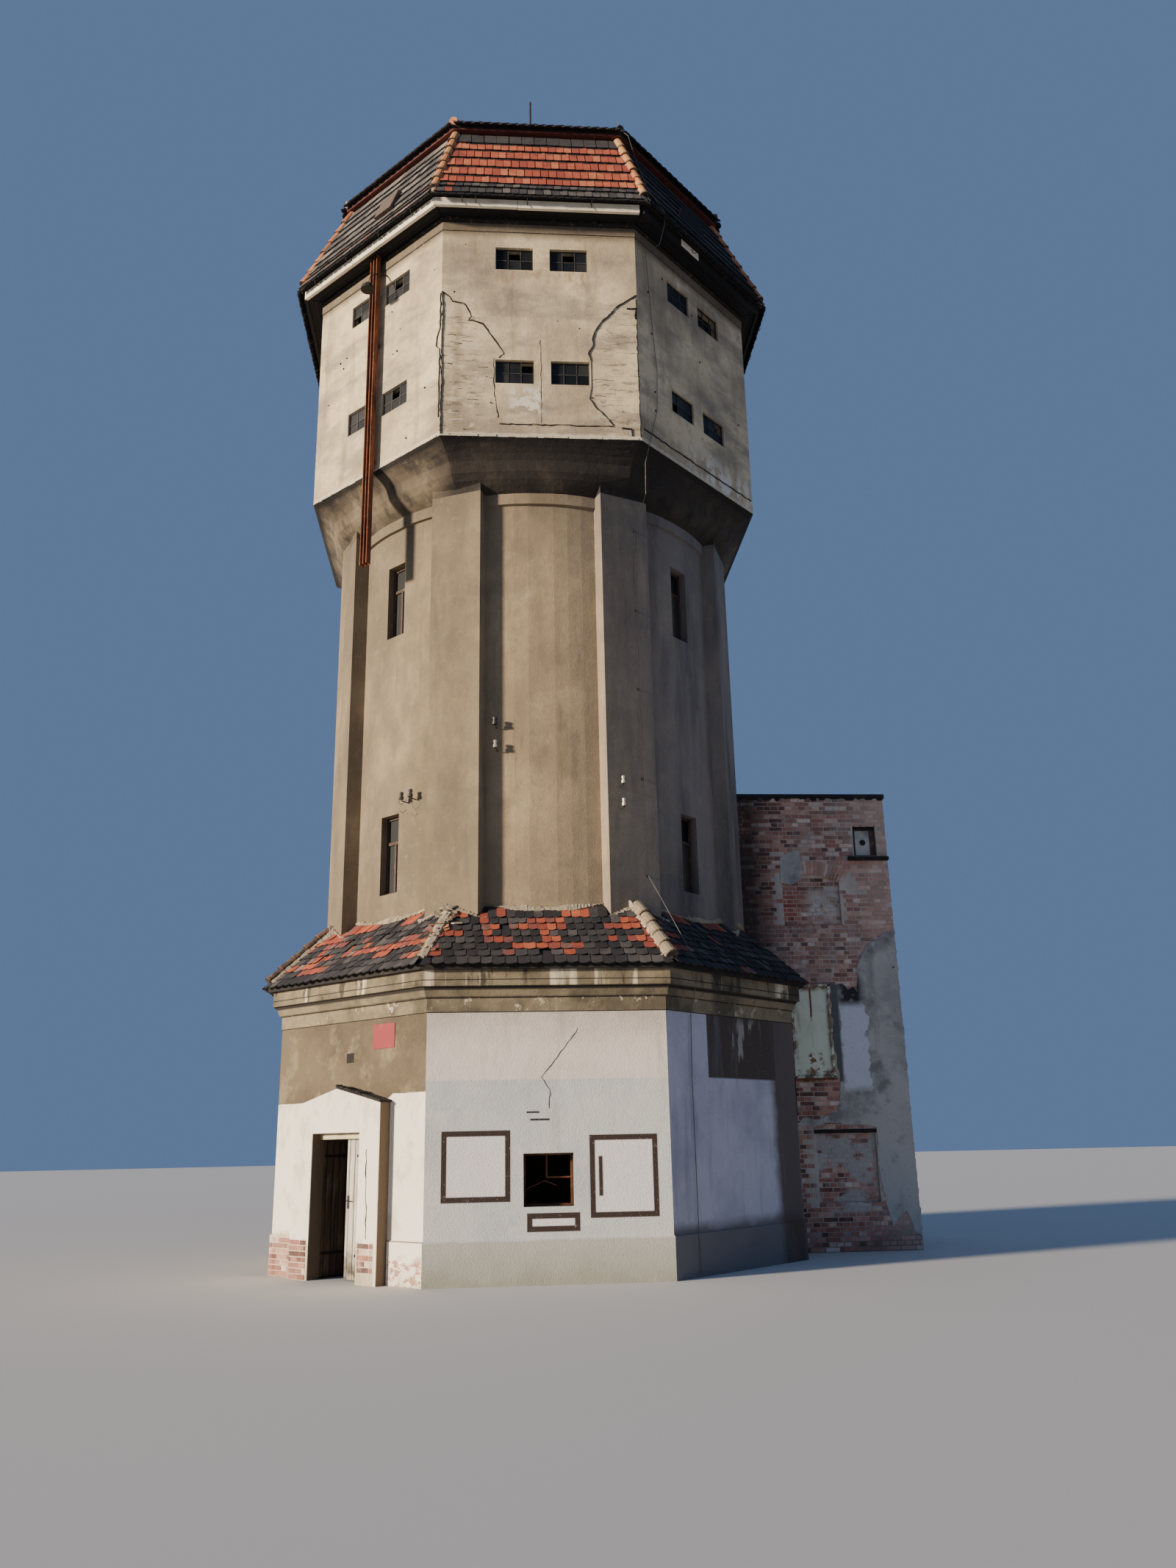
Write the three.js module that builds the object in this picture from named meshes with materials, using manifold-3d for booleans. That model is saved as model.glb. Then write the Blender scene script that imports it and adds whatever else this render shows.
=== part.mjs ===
// Octagonal water tower with a brick annex. Millimetres, z up, ground at z = 0,
// tower axis at x = y = 0, front face of the octagon towards -y.
import * as THREE from 'three';
import Module from 'manifold-3d';

const wasm = await Module();
wasm.setup();

// Driving dimensions
const GAP = 0.3;
const T = Math.tan(Math.PI / 8);
const BASE_A = 4065;
const BASE_IN = 3165;
const PLINTH = 30;
const PLINTH_Z = 560;
const BEAD_Z = 3580;
const CORNICE_TOP = 4160;
const SHAFT_IN = 3000;
const PANEL_R = 3420;
const BAND_R = 3470;
const PILASTER_A = 3640;
const PILASTER_W = 434;
const BAND_Z = 11950;
const FLARE_Z = 12140;
const TANK_Z = 12850;
const TANK_A = 4000;
const TANK_IN = 3850;
const TANK_TOP = 17170;
const EAVE_A = 4280;
const EAVE_TOP = 17300;
const SLOPE_A = 4392;
const SLOPE_TOP_A = 3523;
const SLOPE_TOP = 19390;
const CAP_A = 3660;
const CAP_EDGE = 19460;
const CAP_APEX = 21450;
const ROD_TOP = 23870;
const DOOR_L = -535;
const DOOR_R = 540;
const DOOR_H = 2000;
const REBATE_L = -625;
const REBATE_R = 630;
const REBATE_A = 4045;
const HINGE_A = 4010;
const MEET = 0;
const LEAF_HALF = 20;
const SIDES = ['front', 'front_right', 'right', 'rear_right', 'rear', 'rear_left', 'left', 'front_left'];

const LOOK = {
  plaster: { color: 0xcbbd9f, roughness: 0.95 },
  tank_plaster: { color: 0xc9c0ab, roughness: 0.95 },
  concrete: { color: 0x8d8880, roughness: 0.95 },
  roof_tile: { color: 0x9a4a33, roughness: 0.85 },
  brick: { color: 0x6f3a2d, roughness: 0.95 },
  timber: { color: 0xb29a6a, roughness: 0.8 },
  door_paint: { color: 0xc3cbbd, roughness: 0.6 },
  steel_rust: { color: 0x9a5a2c, roughness: 0.8, metalness: 0.2 },
  steel_paint: { color: 0x9aa892, roughness: 0.6, metalness: 0.1 },
  iron: { color: 0x3a3634, roughness: 0.7, metalness: 0.4 },
  glass: { color: 0x26303c, roughness: 0.15 },
  bitumen: { color: 0x1d1d1f, roughness: 0.9 },
};

const deg = (a) => a * Math.PI / 180;
const group = new THREE.Group();
group.name = 'water_tower';

// Geometry helpers
function fromLists(positions, triangles) {
  const g = new THREE.BufferGeometry();
  g.setAttribute('position', new THREE.Float32BufferAttribute(positions, 3));
  g.setIndex(triangles);
  let volume = 0;
  const p = positions;
  for (let i = 0; i < triangles.length; i += 3) {
    const a = triangles[i] * 3;
    const b = triangles[i + 1] * 3;
    const c = triangles[i + 2] * 3;
    volume += p[a] * (p[b + 1] * p[c + 2] - p[b + 2] * p[c + 1])
      - p[a + 1] * (p[b] * p[c + 2] - p[b + 2] * p[c])
      + p[a + 2] * (p[b] * p[c + 1] - p[b + 1] * p[c]);
  }
  if (volume < 0) {
    for (let i = 0; i < triangles.length; i += 3) {
      const swap = triangles[i];
      triangles[i] = triangles[i + 1];
      triangles[i + 1] = swap;
    }
    g.setIndex(triangles);
  }
  return g;
}

// A block of cells between grid lines. place(i, j, k) gives each grid point,
// filled(i, j, k) says which cells are solid, and wrap closes the first direction.
function cells(nu, nv, nw, filled, place, wrap = false) {
  const positions = [];
  const triangles = [];
  const known = new Map();
  const lines = wrap ? nu : nu + 1;
  const vertex = (i, j, k) => {
    const key = ((i % lines) * 1000 + j) * 1000 + k;
    if (!known.has(key)) {
      known.set(key, positions.length / 3);
      positions.push(...place(i % lines, j, k));
    }
    return known.get(key);
  };
  const solid = (i, j, k) => {
    const ii = wrap ? (i + nu) % nu : i;
    if (ii < 0 || ii >= nu || j < 0 || j >= nv || k < 0 || k >= nw) {
      return false;
    }
    return filled(ii, j, k);
  };
  const quad = (a, b, c, d) => {
    triangles.push(a, b, c, a, c, d);
  };
  for (let i = 0; i < nu; i += 1) {
    for (let j = 0; j < nv; j += 1) {
      for (let k = 0; k < nw; k += 1) {
        if (!solid(i, j, k)) {
          continue;
        }
        const v = (a, b, c) => vertex(i + a, j + b, k + c);
        if (!solid(i - 1, j, k)) quad(v(0, 0, 0), v(0, 0, 1), v(0, 1, 1), v(0, 1, 0));
        if (!solid(i + 1, j, k)) quad(v(1, 0, 0), v(1, 1, 0), v(1, 1, 1), v(1, 0, 1));
        if (!solid(i, j - 1, k)) quad(v(0, 0, 0), v(1, 0, 0), v(1, 0, 1), v(0, 0, 1));
        if (!solid(i, j + 1, k)) quad(v(0, 1, 0), v(0, 1, 1), v(1, 1, 1), v(1, 1, 0));
        if (!solid(i, j, k - 1)) quad(v(0, 0, 0), v(0, 1, 0), v(1, 1, 0), v(1, 0, 0));
        if (!solid(i, j, k + 1)) quad(v(0, 0, 1), v(1, 0, 1), v(1, 1, 1), v(0, 1, 1));
      }
    }
  }
  return fromLists(positions, triangles);
}

const always = () => true;

// A closed outline in plan, raised from z0 to z1
function prism(outline, z0, z1) {
  const shape = outline.map(([x, y]) => new THREE.Vector2(x, y));
  const faces = THREE.ShapeUtils.triangulateShape(shape, []);
  const n = outline.length;
  const positions = [];
  for (const z of [z0, z1]) {
    for (const [x, y] of outline) {
      positions.push(x, y, z);
    }
  }
  const triangles = [];
  for (const [a, b, c] of faces) {
    triangles.push(a, c, b, a + n, b + n, c + n);
  }
  for (let i = 0; i < n; i += 1) {
    const j = (i + 1) % n;
    triangles.push(i, j, j + n, i, j + n, i + n);
  }
  return fromLists(positions, triangles);
}

function box(x0, x1, y0, y1, z0, z1) {
  return prism([[x0, y0], [x1, y0], [x1, y1], [x0, y1]], z0, z1);
}

// A closed profile of [apothem, z] points turned into eight sides
function octagonRing(profile) {
  const n = profile.length;
  const positions = [];
  const index = [];
  for (let s = 0; s < 8; s += 1) {
    const az = deg(22.5 + 45 * s);
    const row = [];
    for (let i = 0; i < n; i += 1) {
      const [a, z] = profile[i];
      if (a === 0 && s > 0) {
        row.push(index[0][i]);
        continue;
      }
      const r = a / Math.cos(Math.PI / 8);
      row.push(positions.length / 3);
      positions.push(r * Math.sin(az), -r * Math.cos(az), z);
    }
    index.push(row);
  }
  const triangles = [];
  for (let s = 0; s < 8; s += 1) {
    const here = index[s];
    const next = index[(s + 1) % 8];
    for (let i = 0; i < n; i += 1) {
      const j = (i + 1) % n;
      if (here[i] !== next[i]) triangles.push(here[i], next[i], here[j]);
      if (here[j] !== next[j]) triangles.push(here[j], next[i], next[j]);
    }
  }
  return fromLists(positions, triangles);
}

function toManifold(g) {
  const mesh = new wasm.Mesh({
    numProp: 3,
    vertProperties: new Float32Array(g.attributes.position.array),
    triVerts: new Uint32Array(g.index.array),
  });
  return new wasm.Manifold(mesh);
}

function cut(g, ...tools) {
  let body = toManifold(g);
  for (const tool of tools) {
    body = body.subtract(toManifold(tool));
  }
  const mesh = body.getMesh();
  return fromLists(Array.from(mesh.vertProperties), Array.from(mesh.triVerts));
}

function add(name, slot, g) {
  const material = new THREE.MeshStandardMaterial(LOOK[slot]);
  material.name = slot;
  const mesh = new THREE.Mesh(g, material);
  mesh.name = name;
  group.add(mesh);
}

// A point on octagon face number f: along the face, out from the axis, up
function onFace(f, along, out, z) {
  const az = deg(45 * f);
  return [out * Math.sin(az) + along * Math.cos(az), -out * Math.cos(az) + along * Math.sin(az), z];
}

// A block on one face, with straight sides
function faceBlock(f, s0, s1, a0, a1, z0, z1) {
  const at = (i, j, k) => onFace(f, [s0, s1][i], [a0, a1][k], [z0, z1][j]);
  return cells(1, 1, 1, always, at);
}

// One mitred wall of an octagon with rectangular openings [s0, s1, z0, z1]
function mitredWall(f, aIn, aOut, z0, z1, openings) {
  const us = [-Infinity, Infinity];
  const vs = [z0, z1];
  for (const [a, b, c, d] of openings) {
    us.push(a, b);
    vs.push(c, d);
  }
  const u = [...new Set(us)].sort((a, b) => a - b);
  const v = [...new Set(vs)].sort((a, b) => a - b);
  const w = [aIn, aOut];
  const filled = (i, j) => {
    const along = (Math.max(u[i], -9999) + Math.min(u[i + 1], 9999)) / 2;
    const up = (v[j] + v[j + 1]) / 2;
    return !openings.some(([a, b, c, d]) => along > a && along < b && up > c && up < d);
  };
  const at = (i, j, k) => {
    const end = w[k] * T - GAP / 2;
    return onFace(f, Math.max(-end, Math.min(end, u[i])), w[k], v[j]);
  };
  return cells(u.length - 1, v.length - 1, 1, filled, at);
}

// Base storey walls: plinth below, openings cut through
function baseWall(f, sMin, sMax, zBottom, zTop, openings, plinthFrom, plinthTo) {
  const u = [...new Set([sMin, sMax, plinthFrom, plinthTo, ...openings.flatMap((o) => [o[0], o[1]])])];
  const us = u.filter((s) => s >= sMin && s <= sMax).sort((a, b) => a - b);
  const zs = [...new Set([zBottom, PLINTH_Z, PLINTH_Z + 20, zTop, ...openings.flatMap((o) => [o[2], o[3]])])];
  const v = zs.filter((z) => z >= zBottom && z <= zTop).sort((a, b) => a - b);
  const w = [BASE_IN, BASE_A - 100, BASE_A];
  const filled = (i, j) => {
    const along = (Math.max(us[i], -2500) + Math.min(us[i + 1], 2500)) / 2;
    const up = (v[j] + v[j + 1]) / 2;
    return !openings.some(([a, b, c, d]) => along > a && along < b && up > c && up < d);
  };
  const at = (i, j, k) => {
    const covered = us[i] >= plinthFrom && us[i] <= plinthTo;
    const out = k === 2 && v[j] <= PLINTH_Z && !covered ? w[k] + PLINTH : w[k];
    const end = out * T - GAP / 2;
    return onFace(f, Math.max(-end, Math.min(end, us[i])), out, v[j]);
  };
  return cells(us.length - 1, v.length - 1, 2, filled, at);
}

const FAR = 5000;
SIDES.forEach((side, f) => {
  if (side === 'front_left') return;
  const openings = side === 'front' ? [[-345, 340, 980, 1670]] : [];
  add(`base_wall_${side}`, 'plaster', baseWall(f, -FAR, FAR, 0, BEAD_Z, openings, 9000, 9001));
});

// The doorway wall, with a rebate that the two leaves close against
const DOOR_F = 7;
const SURROUND_L = -975;
const SURROUND_R = 975;
const SURROUND_OUT = BASE_A + 200;

function doorPier(left) {
  const inner = left ? REBATE_L : REBATE_R;
  const outer = left ? DOOR_L : DOOR_R;
  const side = left ? SURROUND_L : SURROUND_R;
  const u = left ? [-FAR, side - 2, side, inner, outer] : [outer, inner, side, side + 2, FAR];
  const step = left ? 3 : 0;
  const v = [0, PLINTH_Z, PLINTH_Z + 20, BEAD_Z];
  const w = [BASE_IN, REBATE_A, BASE_A];
  const filled = (i, j, k) => !(i === step && k === 0);
  const at = (i, j, k) => {
    const plinth = k === 2 && j < 2 && Math.abs(u[i]) > Math.abs(side);
    const out = plinth ? w[k] + PLINTH : w[k];
    const end = out * T - GAP / 2;
    return onFace(DOOR_F, Math.max(-end, Math.min(end, u[i])), out, v[j]);
  };
  return cells(4, 3, 2, filled, at);
}

function doorLintel() {
  const u = [REBATE_L + GAP, DOOR_L + GAP, DOOR_R - GAP, REBATE_R - GAP];
  const v = [DOOR_H, DOOR_H + 40, BEAD_Z];
  const w = [BASE_IN, REBATE_A - GAP, BASE_A];
  const filled = (i, j, k) => (k === 1 ? i === 1 : j === 1);
  return cells(3, 2, 2, filled, (i, j, k) => onFace(DOOR_F, u[i], w[k], v[j]));
}

add('base_wall_door_left_pier', 'plaster', doorPier(true));
add('base_wall_door_right_pier', 'plaster', doorPier(false));
add('base_wall_door_lintel', 'plaster', doorLintel());

function doorSurround() {
  const u = [SURROUND_L + 5, DOOR_L, MEET, DOOR_R, SURROUND_R - 5];
  const top = [2400, 2499, 2620, 2498, 2400];
  const w = [BASE_A + GAP, SURROUND_OUT];
  const filled = (i, j) => j === 1 || i === 0 || i === 3;
  const at = (i, j, k) => onFace(DOOR_F, u[i], w[k], [0, DOOR_H, top[i]][j]);
  return cells(4, 2, 1, filled, at);
}

add('door_surround', 'plaster', doorSurround());
add('door_head_board', 'timber', faceBlock(DOOR_F, DOOR_L + 0.5, DOOR_R - 0.5, 4075, 4115, 1915, DOOR_H - GAP));

const HINGE_L = REBATE_L + 35;
const HINGE_R = REBATE_R - 35;
const LEAF_Z0 = 25;
const LEAF_Z1 = 2015;
const leafReach = MEET - 3 - HINGE_L;
add('door_leaf_left', 'door_paint', faceBlock(
  DOOR_F, HINGE_L - LEAF_HALF, HINGE_L + LEAF_HALF, HINGE_A - leafReach, HINGE_A + LEAF_HALF, LEAF_Z0, LEAF_Z1));
add('door_leaf_right', 'door_paint', faceBlock(
  DOOR_F, MEET + 3, HINGE_R + LEAF_HALF, HINGE_A - LEAF_HALF, HINGE_A + LEAF_HALF, LEAF_Z0, LEAF_Z1));
const pivot = (s0, s1) => faceBlock(DOOR_F, s0, s1, HINGE_A - LEAF_HALF, HINGE_A + LEAF_HALF, 0, LEAF_Z0 - 0.5);
add('door_pivot_left', 'iron', pivot(REBATE_L + GAP, HINGE_L + LEAF_HALF));
add('door_pivot_right', 'iron', pivot(HINGE_R - LEAF_HALF, REBATE_R - GAP));

const FLOOR_A = BASE_IN - GAP;
add('ground_floor', 'concrete', octagonRing([[0, 0], [FLOOR_A, 0], [FLOOR_A, 100], [0, 100]]));

// Annex envelope and the tower outlines that it is fitted to
const AX0 = 3300;
const AX1 = 6290;
const AY0 = -600;
const AY1 = 2200;
const A_WALL = 380;
const A_TOP = 7770;

function octagonOutline(a) {
  const r = a / Math.cos(Math.PI / 8);
  const points = [];
  for (let s = 0; s < 8; s += 1) {
    const az = deg(22.5 + 45 * s);
    points.push([r * Math.sin(az), -r * Math.cos(az)]);
  }
  return points;
}

// Half outline of one shaft face, as [azimuth, radius] from the middle to the corner
const WIN_HALF = 210;
const panelAngles = (r) => {
  const edge = 22.5 - Math.asin(PILASTER_W / r) * 180 / Math.PI;
  const win = Math.asin(WIN_HALF / r) * 180 / Math.PI;
  return [win, win + (edge - win) / 3, win + (edge - win) * 2 / 3, edge];
};
const cornerAngle = 22.5 - Math.atan(PILASTER_W / PILASTER_A) * 180 / Math.PI;
const cornerR = Math.hypot(PILASTER_A, PILASTER_W);

function shaftOutline(extra) {
  const half = panelAngles(PANEL_R).map((a) => [a, PANEL_R + extra]);
  half.push([cornerAngle - extra / 60, cornerR + extra], [22.5, PILASTER_A + extra]);
  const points = [];
  for (let f = 0; f < 8; f += 1) {
    const left = half.slice(0, -1).reverse().map(([a, r]) => [45 * f - a, r]);
    const right = half.map(([a, r]) => [45 * f + a, r]);
    for (const [a, r] of [...left, ...right]) {
      points.push([r * Math.sin(deg(a)), -r * Math.cos(deg(a))]);
    }
  }
  return points;
}

const annexSpace = box(0, AX1 + 500, AY0 - 0.5, AY1 + 0.5, -100, 9000);
const baseTool = prism(octagonOutline(BASE_A + 0.5), -50, CORNICE_TOP + 0.4);
const plinthTool = prism(octagonOutline(BASE_A + PLINTH + 0.5), -50, PLINTH_Z + 21);
const shaftTool = prism(shaftOutline(2), CORNICE_TOP, 9000);

// Cornice over the base storey, cut back where the annex stands
const corniceProfile = [
  [BASE_IN, BEAD_Z + GAP], [BASE_A + 12, BEAD_Z + GAP], [BASE_A + 12, 3770], [4120, 3800], [4165, 3910],
  [4172, 3934], [4218, 3934], [4218, CORNICE_TOP], [BASE_IN, CORNICE_TOP],
];
const corniceCut = box(BASE_A + 0.3, AX1 + 500, AY0 - 0.5, AY1 + 0.5, 3000, 5000);
const skew = (BASE_A + 0.3) * Math.SQRT2;
const corniceCutRear = prism([
  [BASE_A + 0.3, skew - BASE_A - 0.3], [BASE_A + 0.3, AY1 + 0.5], [skew - AY1 - 0.5, AY1 + 0.5]], 3000, 5000);
add('base_cornice', 'plaster', cut(octagonRing(corniceProfile), corniceCut, corniceCutRear));

// Tiled weathering from the shaft out to the cornice edge
const SKIRT_A = 4300;
const SKIRT_Z = 4235;
const SKIRT_RISE = 1.0;

function skirtRoof() {
  const inner = shaftOutline(3);
  const n = inner.length;
  const at = (i, j, k) => {
    const [x, y] = inner[i];
    const az = Math.atan2(x, -y);
    const f = Math.round(az / (Math.PI / 4));
    const local = az - f * Math.PI / 4;
    const shaftA = Math.hypot(x, y) * Math.cos(local);
    if (k === 0) {
      return [x, y, j === 0 ? CORNICE_TOP + GAP : SKIRT_Z + (SKIRT_A - shaftA) * SKIRT_RISE];
    }
    const r = SKIRT_A / Math.cos(local);
    return [r * Math.sin(az), -r * Math.cos(az), j === 0 ? CORNICE_TOP + GAP : SKIRT_Z];
  };
  return cells(n, 1, 1, always, at, true);
}

add('skirt_roof', 'roof_tile', cut(skirtRoof(), annexSpace));

// Shaft: eight walls, each with a recessed curved panel between two half pilasters
const WINDOWS_Z = [[5600, 6880], [9990, 11300]];

function shaftWall(f, hasWindows) {
  const z0 = CORNICE_TOP + 0.5;
  const zs = [z0, ...(hasWindows ? WINDOWS_Z.flat() : []), BAND_Z - 10, BAND_Z, FLARE_Z];
  const at = (i, j, k) => {
    const z = zs[j];
    const side = i < 5 ? -1 : 1;
    const m = i < 5 ? 4 - i : i - 5;
    let r = SHAFT_IN;
    if (k === 1) r = z >= BAND_Z ? BAND_R : PANEL_R;
    let a = 22.5;
    if (m < 4) a = panelAngles(r)[m];
    if (k === 2) {
      r = m === 4 ? PILASTER_A : cornerR;
      a = m === 4 ? 22.5 : cornerAngle;
    }
    if (m === 4) a -= (GAP / 2 / r) * 180 / Math.PI;
    const az = deg(45 * f + side * a);
    return [r * Math.sin(az), -r * Math.cos(az), z];
  };
  const filled = (i, j, k) => {
    if (k === 1) return i === 0 || i === 8;
    if (!hasWindows || i !== 4) return true;
    const mid = (zs[j] + zs[j + 1]) / 2;
    return !WINDOWS_Z.some(([a, b]) => mid > a && mid < b);
  };
  return cells(9, zs.length - 1, 2, filled, at);
}

SIDES.forEach((side, f) => {
  add(`shaft_wall_${side}`, 'plaster', shaftWall(f, side.includes('_')));
});

// Rings and discs that follow the faceted inside of the shaft
function insideRing(r0, r1, z0, z1) {
  const angles = [];
  for (let f = 0; f < 8; f += 1) {
    const half = [...panelAngles(SHAFT_IN), 22.5];
    angles.push(...half.slice(0, -1).reverse().map((a) => 45 * f - a), ...half.map((a) => 45 * f + a));
  }
  const at = (i, j, k) => {
    const r = [r0, r1][k];
    return [r * Math.sin(deg(angles[i])), -r * Math.cos(deg(angles[i])), [z0, z1][j]];
  };
  if (r0 > 0) return cells(angles.length, 1, 1, always, at, true);
  return prism(angles.map((a) => [r1 * Math.sin(deg(a)), -r1 * Math.cos(deg(a))]), z0, z1);
}

const IN_R = SHAFT_IN - 0.5;
add('shaft_floor_lower', 'concrete', insideRing(0, IN_R, 4700, 4900));
add('shaft_floor_upper', 'concrete', insideRing(0, IN_R, 9150, 9350));
add('tank_floor', 'concrete', insideRing(0, IN_R, 12600, TANK_Z));
add('shaft_glazing_lower', 'glass', insideRing(IN_R - 12, IN_R, 5560, 6920));
add('shaft_glazing_upper', 'glass', insideRing(IN_R - 12, IN_R, 9950, 11340));

// Flare from the round shaft out to the eight tank walls: it swells out of the shaft, rises, and turns
// out again under the tank. The pilasters run straight up into it.
const FLARE_LEVELS = [0, 0.06, 0.14, 0.24, 0.38, 0.62, 0.76, 0.86, 0.94, 1];
const FLARE_BEND = 1.7;
const PILASTER_TOP = 12400;

function flare() {
  const low = [];
  for (let f = 0; f < 8; f += 1) {
    const half = [...panelAngles(BAND_R), cornerAngle, 22.5];
    low.push(...half.slice(0, -1).reverse().map((a) => [45 * f - a, a]), ...half.map((a) => [45 * f + a, a]));
  }
  const onChord = (f, side) => {
    const edge = panelAngles(SHAFT_IN)[3];
    const p = [deg(45 * f + side * edge), deg(45 * f + side * 22.5)];
    return [0, 1].map((c) => p.reduce((sum, q) => sum + (c ? -Math.cos(q) : Math.sin(q)) * SHAFT_IN / 2, 0));
  };
  const at = (i, j, k) => {
    const [a, local] = low[i];
    const t = FLARE_LEVELS[j];
    const z = FLARE_Z + GAP + (TANK_Z - FLARE_Z - GAP) * t;
    if (k === 0) {
      const f = Math.floor(i / 11);
      const m = i % 11;
      if (m === 0 || m === 9) return [...onChord(f, m === 0 ? -1 : 1), z];
      const angles = panelAngles(SHAFT_IN);
      const inner = m === 10 ? 22.5 : m < 5 ? -angles[4 - m] : angles[m - 5];
      const q = deg(45 * f + inner);
      return [SHAFT_IN * Math.sin(q), -SHAFT_IN * Math.cos(q), z];
    }
    const u = 2 * t - 1;
    const grown = (1 + Math.sign(u) * Math.pow(Math.abs(u), FLARE_BEND)) / 2;
    const out = BAND_R + (TANK_A / Math.cos(deg(local)) - BAND_R) * grown;
    return [out * Math.sin(deg(a)), -out * Math.cos(deg(a)), z];
  };
  let body = toManifold(cells(low.length, FLARE_LEVELS.length - 1, 1, always, at, true));
  for (let f = 0; f < 8; f += 1) {
    const z = [FLARE_Z + GAP, PILASTER_TOP];
    const s = [-PILASTER_W, PILASTER_W];
    const a = [SHAFT_IN + 300, PILASTER_A];
    body = body.add(toManifold(cells(1, 1, 1, always, (i, j, k) => onFace(f + 0.5, s[i], a[k], z[j]))));
  }
  const mesh = body.getMesh();
  return fromLists(Array.from(mesh.vertProperties), Array.from(mesh.triVerts));
}

add('tank_flare', 'concrete', flare());

// Tank storey
const TANK_WINDOWS = [
  [-750, -110, 13860, 14305], [175, 820, 13860, 14305],
  [-750, -110, 16105, 16550], [175, 820, 16105, 16550],
];
SIDES.forEach((side, f) => {
  add(`tank_wall_${side}`, 'tank_plaster', mitredWall(f, TANK_IN, TANK_A, TANK_Z + GAP, TANK_TOP, TANK_WINDOWS));
});
const GLASS_A = TANK_IN - GAP;
const glassRing = (z0, z1) => octagonRing([[GLASS_A - 12, z0], [GLASS_A, z0], [GLASS_A, z1], [GLASS_A - 12, z1]]);
add('tank_glazing_lower', 'glass', glassRing(13820, 14345));
add('tank_glazing_upper', 'glass', glassRing(16065, 16590));

// Roof
add('tank_eaves', 'timber', octagonRing([
  [TANK_IN, TANK_TOP + GAP], [EAVE_A, TANK_TOP + GAP], [EAVE_A, EAVE_TOP], [TANK_IN, EAVE_TOP]]));
const slopeRun = (SLOPE_A - SLOPE_TOP_A) / (SLOPE_TOP - EAVE_TOP);
const slopeA = (z) => SLOPE_A - (z - EAVE_TOP) * slopeRun;
add('roof_lower_slope', 'roof_tile', octagonRing([
  [SLOPE_A - 150, EAVE_TOP + GAP], [SLOPE_A, EAVE_TOP + GAP], [SLOPE_TOP_A, SLOPE_TOP], [SLOPE_TOP_A - 150, SLOPE_TOP]]));
add('roof_cap', 'roof_tile', octagonRing([
  [3300, SLOPE_TOP + GAP], [CAP_A, SLOPE_TOP + GAP], [CAP_A, CAP_EDGE], [0, CAP_APEX], [0, CAP_APEX - 140]]));

// Raised lid on the front-left slope
const HATCH = { s0: 140, s1: 592, z0: 17822, z1: 18313, low: 130, high: 150 };

function roofHatch() {
  const v = [HATCH.z0, HATCH.z1];
  const grow = [HATCH.low, HATCH.high];
  const at = (i, j, k) => onFace(7, [HATCH.s0, HATCH.s1][i], slopeA(v[j]) + (k === 0 ? 1 : grow[j]), v[j]);
  return cells(1, 1, 1, always, at);
}

// Round-headed air vent on the front-right slope: its hood runs level back into the roof
const VENT = { s: -50, half: 400, z0: 18020, rise: 420, out: 60 };

function roofVent() {
  const steps = 8;
  const at = (i, j, k) => {
    const t = i / steps * 2 - 1;
    const z = VENT.z0 + (j === 0 ? 0 : 25 + (VENT.rise - 25) * Math.sqrt(1 - t * t));
    const out = k === 0 ? slopeA(z) + 1 : slopeA(VENT.z0) + VENT.out;
    return onFace(1, VENT.s + VENT.half * t, out, z);
  };
  return cells(steps, 1, 1, always, at);
}

add('roof_hatch', 'iron', roofHatch());
add('roof_vent', 'roof_tile', roofVent());

function rod(x, y, r, z0, z1, sides = 10) {
  const outline = [];
  for (let i = 0; i < sides; i += 1) {
    const a = 2 * Math.PI * i / sides;
    outline.push([x + r * Math.cos(a), y + r * Math.sin(a)]);
  }
  return prism(outline, z0, z1);
}

add('roof_finial_rod', 'iron', rod(0, 0, 22, CAP_APEX + GAP, ROD_TOP));

// Level-gauge guide on the front-left side, standing off the wall on two brackets
const GAUGE_A0 = 4080;
const GAUGE_S = 20;

function gaugeGuide() {
  const u = [GAUGE_S - 90, GAUGE_S - 72, GAUGE_S - 9, GAUGE_S + 9, GAUGE_S + 72, GAUGE_S + 90];
  const w = [GAUGE_A0, GAUGE_A0 + 12, GAUGE_A0 + 90];
  const filled = (i, j, k) => k === 0 || i !== 1 && i !== 3;
  return cells(5, 1, 2, filled, (i, j, k) => onFace(DOOR_F, u[i], w[k], [11050, 17160][j]));
}

function withBrackets(guide, levels) {
  let body = toManifold(guide);
  for (const z of levels) {
    body = body.add(toManifold(faceBlock(DOOR_F, -20, 60, TANK_A + GAP, GAUGE_A0 + 2, z, z + 60)));
  }
  const mesh = body.getMesh();
  return fromLists(Array.from(mesh.vertProperties), Array.from(mesh.triVerts));
}

add('gauge_guide', 'steel_rust', withBrackets(gaugeGuide(), [13000, 15300]));

// Wall lamp: arm out of the wall, bent down to the shade
const LAMP_S = 240;
const LAMP_A = 4453;

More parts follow.
